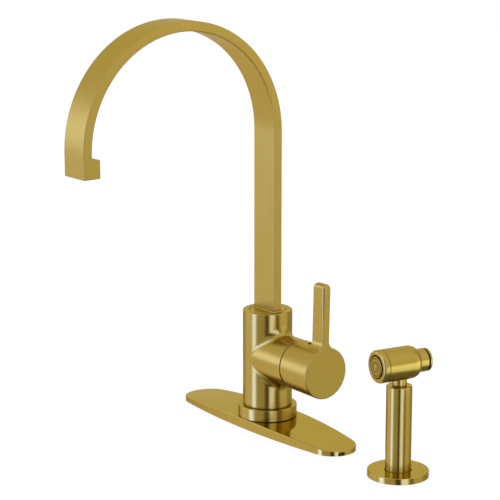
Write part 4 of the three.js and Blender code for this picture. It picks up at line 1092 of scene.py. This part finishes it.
def make_flange_and_grip():
    turn_piece("deck_flange", "faucet_base", "sprayer_flange", flange_brass, [
        (17.3, 0), (29.8, 0, 0.2), (29.8, 6.2, 0.8), (13.7, 6.2), (12.8, 5.3), (12.8, 3.6), (17.3, 3.6),
    ], 120, turn=SPRAYER_TURN)
    turn_piece("grip_tube", "wand", "sprayer_grip", round_brass, [
        (5.7, GRIP_LOW), (GRIP_RADIUS, GRIP_LOW, 0.8), (GRIP_RADIUS, GRIP_TOP, 0.9), (5.1, GRIP_TOP),
        (5.1, 78.7), (9.5, 78.7), (9.5, -18.7), (5.7, -18.7),
    ], turn=SPRAYER_TURN)
    turn_piece("neck_between", "wand", "sprayer_neck", round_brass, [
        (2.4, 79), (4.8, 79), (4.8, 90.3), (7, 90.3, 0.4), (7, 99), (2.4, 99),
    ], 64, turn=SPRAYER_TURN)


def make_head():
    shoulder = []
    for k in range(13):
        turn = radians(7.5 * k)
        shoulder.append((
            REAR_NECK_RADIUS + (HEAD_RADIUS - REAR_NECK_RADIUS) * cos(turn),
            HEAD_BACK + (SHOULDER_END - HEAD_BACK) * sin(turn),
        ))
    front = eased([(14.1, HEAD_START), (HEAD_RADIUS, HEAD_START, 0.5), (HEAD_RADIUS, 0)])[:-1]
    rear = eased([
        (REAR_NECK_RADIUS, 20), (REAR_NECK_RADIUS, HEAD_END, 0.4), (BUTTON_BORE, HEAD_END, 0.3),
        (BUTTON_BORE, 15),
    ])[1:]
    inside = [
        (BUTTON_BORE, 15.1), (2.5, 15.1), (2.5, 12.6), (8, 12.6), (8, -7), (4, -7), (4, -9), (11.6, -9),
        (11.6, -13.9), (14.1, -13.9),
    ]
    shell = Shell(HEAD_TURN)
    shell.turned(front + shoulder + rear + inside, closed=True)
    dress("head_barrel", shell, "wand", ["sprayer_head"], head_brass)
    turn_piece("front_ring", "wand", "sprayer_front_ring", head_brass, [
        (SPRAY_OPENING, HEAD_FRONT, 0.4), (HEAD_RADIUS, HEAD_FRONT, 2.6), (HEAD_RADIUS, RING_BACK, 0.5),
        (13.8, RING_BACK), (13.8, -14.2), (12.8, -14.2), (12.8, -23.2), (SPRAY_OPENING, -23.2),
    ], turn=HEAD_TURN, steps=8)


def nozzle_pins():
    """Two rings of little nozzles, laid out about the head's axis in its own frame."""
    recipe = Recipe(
        "spray nozzles",
        Outer_count=16, Outer_circle=8.4 * MM, Inner_count=8, Inner_circle=4.7 * MM,
        Base_radius=0.6 * MM, Tip_radius=0.42 * MM, Height=1.1 * MM, Finish=head_brass,
    )
    pin = recipe.node("GeometryNodeMeshCone", {
        "Vertices": 10, "Radius Top": recipe["Base_radius"],
        "Radius Bottom": recipe["Tip_radius"], "Depth": recipe["Height"],
    })
    rings = []
    for label in ("Outer", "Inner"):
        places = recipe.node("GeometryNodeMeshCircle", {
            "Vertices": recipe[label + "_count"], "Radius": recipe[label + "_circle"],
        })
        rings.append(recipe.node("GeometryNodeInstanceOnPoints", {"Points": places, "Instance": pin}))
    joined = recipe.node("GeometryNodeJoinGeometry", {0: rings[0]})
    recipe.feed(joined.socket.node, {0: rings[1]})
    return recipe.bake(joined)


def make_nozzle_face():
    shell = Shell(HEAD_TURN @ Matrix.Translation((0, 0, FACE_LOW)))
    shell.turned(eased([
        (0, -0.8), (1.7, -0.6, 0.4), (2.2, 0), (3.9, 0, 0.15), (3.9, 0.6), (5.5, 0.6), (5.5, 0, 0.15),
        (7.6, 0, 0.15), (7.6, 0.6), (9.2, 0.6), (9.2, 0, 0.15), (10.1, 0, 0.4),
        (10.1, 4.4), (12.5, 4.4), (12.5, 11.8), (10.9, 11.8), (10.9, 5.6), (0, 5.6),
    ]), 72)
    pins = nozzle_pins()
    pins.transform(Matrix.Translation((0, 0, -0.3 * MM)))
    shell.take(pins)
    dress("nozzle_disc", shell, "wand", ["sprayer_nozzle_face"], head_brass)


def make_button():
    turn_piece("thumb_button", "spray_button", "sprayer_button", head_brass, [
        (0, BUTTON_LOW), (BUTTON_RADIUS, BUTTON_LOW, 0.4), (BUTTON_RADIUS, BUTTON_TOP, 1.0), (0, BUTTON_TOP),
    ], closed=False, turn=HEAD_TURN)
    turn_piece("button_sleeve", "spray_button", "sprayer_button_sleeve", black_plastic, [
        (2.5, 27.9), (9.6, 27.9, 0.3), (9.6, 16.9), (7, 16.9), (7, 24.9), (2.5, 24.9),
    ], 64, turn=HEAD_TURN, slot="black_plastic")


# ---- The hidden parts keep their solids, and take their finishes and threads ----

INNER_PARTS = {
    raw_brass: [
        "mounting_shank", "mounting_nut", "cold_supply_nipple", "hot_supply_nipple", "sprayer_nipple",
        "cartridge_nut", "handle_stem", "sprayer_holder", "sprayer_hose_coupling",
    ],
    steel: [
        "metal_washer", "spout_retaining_screw", "stem_pivot_pin", "handle_set_screw", "sprayer_valve_rod",
        "sprayer_button_spring",
    ],
    rubber: [
        "rubber_washer", "upper_spout_seal", "lower_spout_seal", "aerator_washer", "cartridge_seal",
        "sprayer_rubber_washer", "sprayer_valve_seal",
    ],
    foam: ["deck_gasket"],
    black_plastic: ["shank_plug", "aerator_insert", "cartridge_turret", "sprayer_liner", "sprayer_nut"],
    grey_plastic: ["deck_under_plate", "cartridge_housing"],
    ceramic: ["fixed_ceramic_disc", "moving_ceramic_disc"],
}


def finish_inner_parts():
    for material, names in INNER_PARTS.items():
        for name in names:
            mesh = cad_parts[name].data
            mesh.materials.clear()
            mesh.materials.append(material)


def screw_thread(name, place, radius, low, high, pitch=1.5):
    """A ridge that winds round one of the hidden threaded parts."""
    recipe = Recipe(
        name + " winding",
        Turns=(high - low) / pitch, Radius=radius * MM, Height=(high - low) * MM,
        Ridge=THREAD_RIDGE * MM, Steps=24, Finish=raw_brass,
    )
    winding = recipe.node("GeometryNodeCurveSpiral", {
        "Resolution": recipe["Steps"], "Rotations": recipe["Turns"],
        "Start Radius": recipe["Radius"], "End Radius": recipe["Radius"],
        "Height": recipe["Height"],
    })
    upright = recipe.node("GeometryNodeSetCurveNormal", {"Curve": winding}, mode="Z_UP")
    section = recipe.node("GeometryNodeCurvePrimitiveCircle", {"Resolution": 3, "Radius": recipe["Ridge"]})
    outward = recipe.node("GeometryNodeTransform", {"Geometry": section, "Rotation": (0, 0, pi)})
    shell = Shell(Matrix.Translation((*place, low)))
    shell.take(recipe.bake(recipe.node("GeometryNodeCurveToMesh", {
        "Curve": upright, "Profile Curve": outward, "Fill Caps": True,
    })))
    dress(name, shell, "faucet_base", [], raw_brass, "raw_brass")


def make_threads():
    screw_thread("shank_thread", (0, 0), SHANK_RADIUS, -59.5, -0.5)
    screw_thread("holder_thread", (SPRAYER_PLACE, 0), HOLDER_RADIUS, -55.5, -0.5)
    for name, bearing in (("cold", 90), ("hot", 210), ("sprayer", 330)):
        turn = radians(bearing)
        place = (NIPPLE_CIRCLE * cos(turn), NIPPLE_CIRCLE * sin(turn))
        screw_thread(name + "_nipple_thread", place, NIPPLE_RADIUS, -82.2, -68, 1)


# ---- Floor, studio and camera ----

def make_floor(half=2.5, level=-0.0003):
    """A pale floor that shows the object's shadow; seen from below it is clear."""
    material = bpy.data.materials.new("pale floor")
    material.use_nodes = True
    sheet = Sheet(material.node_tree)
    material.node_tree.nodes.remove(material.node_tree.nodes["Principled BSDF"])
    matte = sheet.node("ShaderNodeBsdfDiffuse", {"Color": grey(0.8)})
    shaded = sheet.node("ShaderNodeBsdfDiffuse", {"Color": grey(0.25)})
    glow = sheet.node("ShaderNodeEmission", {"Color": grey(1), "Strength": 0.82})
    paper = sheet.node("ShaderNodeAddShader", {0: shaded, 1: glow})
    rays = sheet.node("ShaderNodeLightPath", output="Is Camera Ray")
    white = sheet.node("ShaderNodeMixShader", {0: rays, 1: matte, 2: paper})
    clear = sheet.node("ShaderNodeBsdfTransparent")
    below = sheet.node("ShaderNodeNewGeometry", output="Backfacing")
    surface = sheet.node("ShaderNodeMixShader", {0: below, 1: white, 2: clear})
    sheet.feed(sheet.tree.nodes["Material Output"], {"Surface": surface})
    mesh = bpy.data.meshes.new("floor")
    corners = [(-half, -half, level), (half, -half, level), (half, half, level), (-half, half, level)]
    mesh.from_pydata(corners, [], [(0, 1, 2, 3)])
    mesh.materials.append(material)
    floor = new_object("floor", mesh)
    floor.visible_glossy = False


# Patches of the world that the brass reflects, each laid over those before it: colour, bearing
# and half width in degrees, softness of the upright edges, then how high it starts and ends, as
# sines, and the softness of those edges
STUDIO_CARDS = [
    ((0.9, 0.87, 0.85), -150, 45, 30),
    ((0.76, 0.77, 0.68), 40, 24, 14),
    ((1.02, 0.99, 0.86), 40, 24, 14, -0.18, 1.2, 0.045),
    ((1.3, 1.22, 1.34), 40, 24, 14, -0.2, -0.05, 0.045),
    ((0.5, 0.48, 0.4), 95, 25, 15),
    ((0.43, 0.42, 0.38), 155, 42, 20),
    ((0.88, 0.85, 0.74), 152, 52, 22, -0.02, 0.75, 0.12),
    ((1.65, 1.85, 3.6), -143, 15, 9, -0.12, 0.25, 0.1),
    ((0.12, 0.1, 0.05), -40.6, 9, 4),
    ((0.33, 0.3, 0.22), 11.8, 6, 5),
    ((1.75, 2.4, 8.0), -104.6, 9, 5),
    ((1.55, 1.85, 4.3), -15.3, 13, 3),
]
CARD_UNDER_THE_ARCH = ((0.98, 0.91, 0.98), 175, 55, 16, -0.86, -0.3, 0.08)


def make_studio():
    """Soft white light all round, with bright and dark cards that streak the brass."""
    world = bpy.data.worlds.new("studio")
    bpy.context.scene.world = world
    world.use_nodes = True
    world.node_tree.nodes.clear()
    sheet = Sheet(world.node_tree)
    x, y, z = sheet.split(sheet.node("ShaderNodeTexCoord", output="Generated"))
    level_reach = (x * x + y * y) ** 0.5 + 0.0001

    def with_card(light, colour, bearing, half, soft, low=-1.2, high=1.2, fade=0.1):
        angle = radians(bearing)
        facing = (x * cos(angle) + y * sin(angle)) / level_reach
        outside = cos(radians(half + soft))
        inside = cos(radians(max(half - soft, 0)))
        above = sheet.smooth_step(z, low - fade, low + fade)
        below = sheet.smooth_step(z, high + fade, high - fade)
        share = sheet.smooth_step(facing, outside, inside) * above * below
        return sheet.mix_colours(share, light, (*colour, 1))

    light = (0.6, 0.59, 0.54, 1)
    for card in STUDIO_CARDS:
        light = with_card(light, *card)
    overhead = sheet.smooth_step(z, 0.62, 0.9)
    light = sheet.mix_colours(overhead, light, (0.95, 0.93, 0.92, 1))
    above_the_ground = sheet.smooth_step(z, -0.75, -0.35)
    light = sheet.mix_colours(above_the_ground, (0.22, 0.21, 0.18, 1), light)
    light = with_card(light, *CARD_UNDER_THE_ARCH)
    lit = sheet.node("ShaderNodeBackground", {"Color": light, "Strength": 1.0})
    paper = sheet.node("ShaderNodeBackground", {"Color": grey(1), "Strength": 1.0})
    seen = sheet.node("ShaderNodeLightPath", output="Is Camera Ray")
    through = sheet.node("ShaderNodeLightPath", output="Is Transmission Ray")
    shown = sheet.maths("MAXIMUM", seen, through)
    both = sheet.node("ShaderNodeMixShader", {0: shown, 1: lit, 2: paper})
    sheet.feed(world.node_tree.nodes.new("ShaderNodeOutputWorld"), {"Surface": both})


def make_sprayer_lamp():
    """A small soft lamp beside the sprayer's head, which lays the long bright streak on it."""
    bearing = radians(20)
    away = Vector((cos(bearing), sin(bearing), 0))
    distance = 0.055
    drop = 0.0115
    level = 1.2
    lamp = bpy.data.lights.new("sprayer lamp", "AREA")
    lamp.shape = "RECTANGLE"
    lamp.size = 0.08
    lamp.size_y = 0.038
    lamp.color = (0.64, 0.77, 1)
    lamp.energy = level * pi * lamp.size * lamp.size_y
    holder = new_object("sprayer lamp", lamp)
    holder.location = Vector((SPRAYER_PLACE, 0, HEAD_HEIGHT)) * MM + away * distance - Vector((0, 0, drop))
    holder.rotation_euler = (-away).to_track_quat("-Z", "Y").to_euler()
    holder.visible_camera = False
    holder.visible_diffuse = False


def make_camera():
    """The photograph's view, found by fitting a camera to the edges that it shows."""
    bearing = 0.91448
    rise = 0.22431
    distance = 1.9772
    focal_pixels = 1935.6
    picture_pixels = 500
    target = Vector((-0.01108, -0.01438, 0.18507))
    back = Vector((sin(bearing) * cos(rise), -cos(bearing) * cos(rise), sin(rise)))
    lens = bpy.data.cameras.new("camera")
    lens.sensor_width = 36
    lens.lens = lens.sensor_width * focal_pixels / picture_pixels
    lens.clip_start = 0.05
    camera = new_object("camera", lens)
    camera.location = target + back * distance
    camera.rotation_euler = back.to_track_quat("Z", "Y").to_euler()
    bpy.context.scene.camera = camera


make_plate()
make_base_ring()
make_body()
make_spout()
make_collar()
make_aerator_housing()
make_handle()
make_flange_and_grip()
make_head()
make_nozzle_face()
make_button()
finish_inner_parts()
make_threads()
make_floor()
make_studio()
make_sprayer_lamp()
make_camera()
bpy.context.scene.view_settings.view_transform = "Standard"
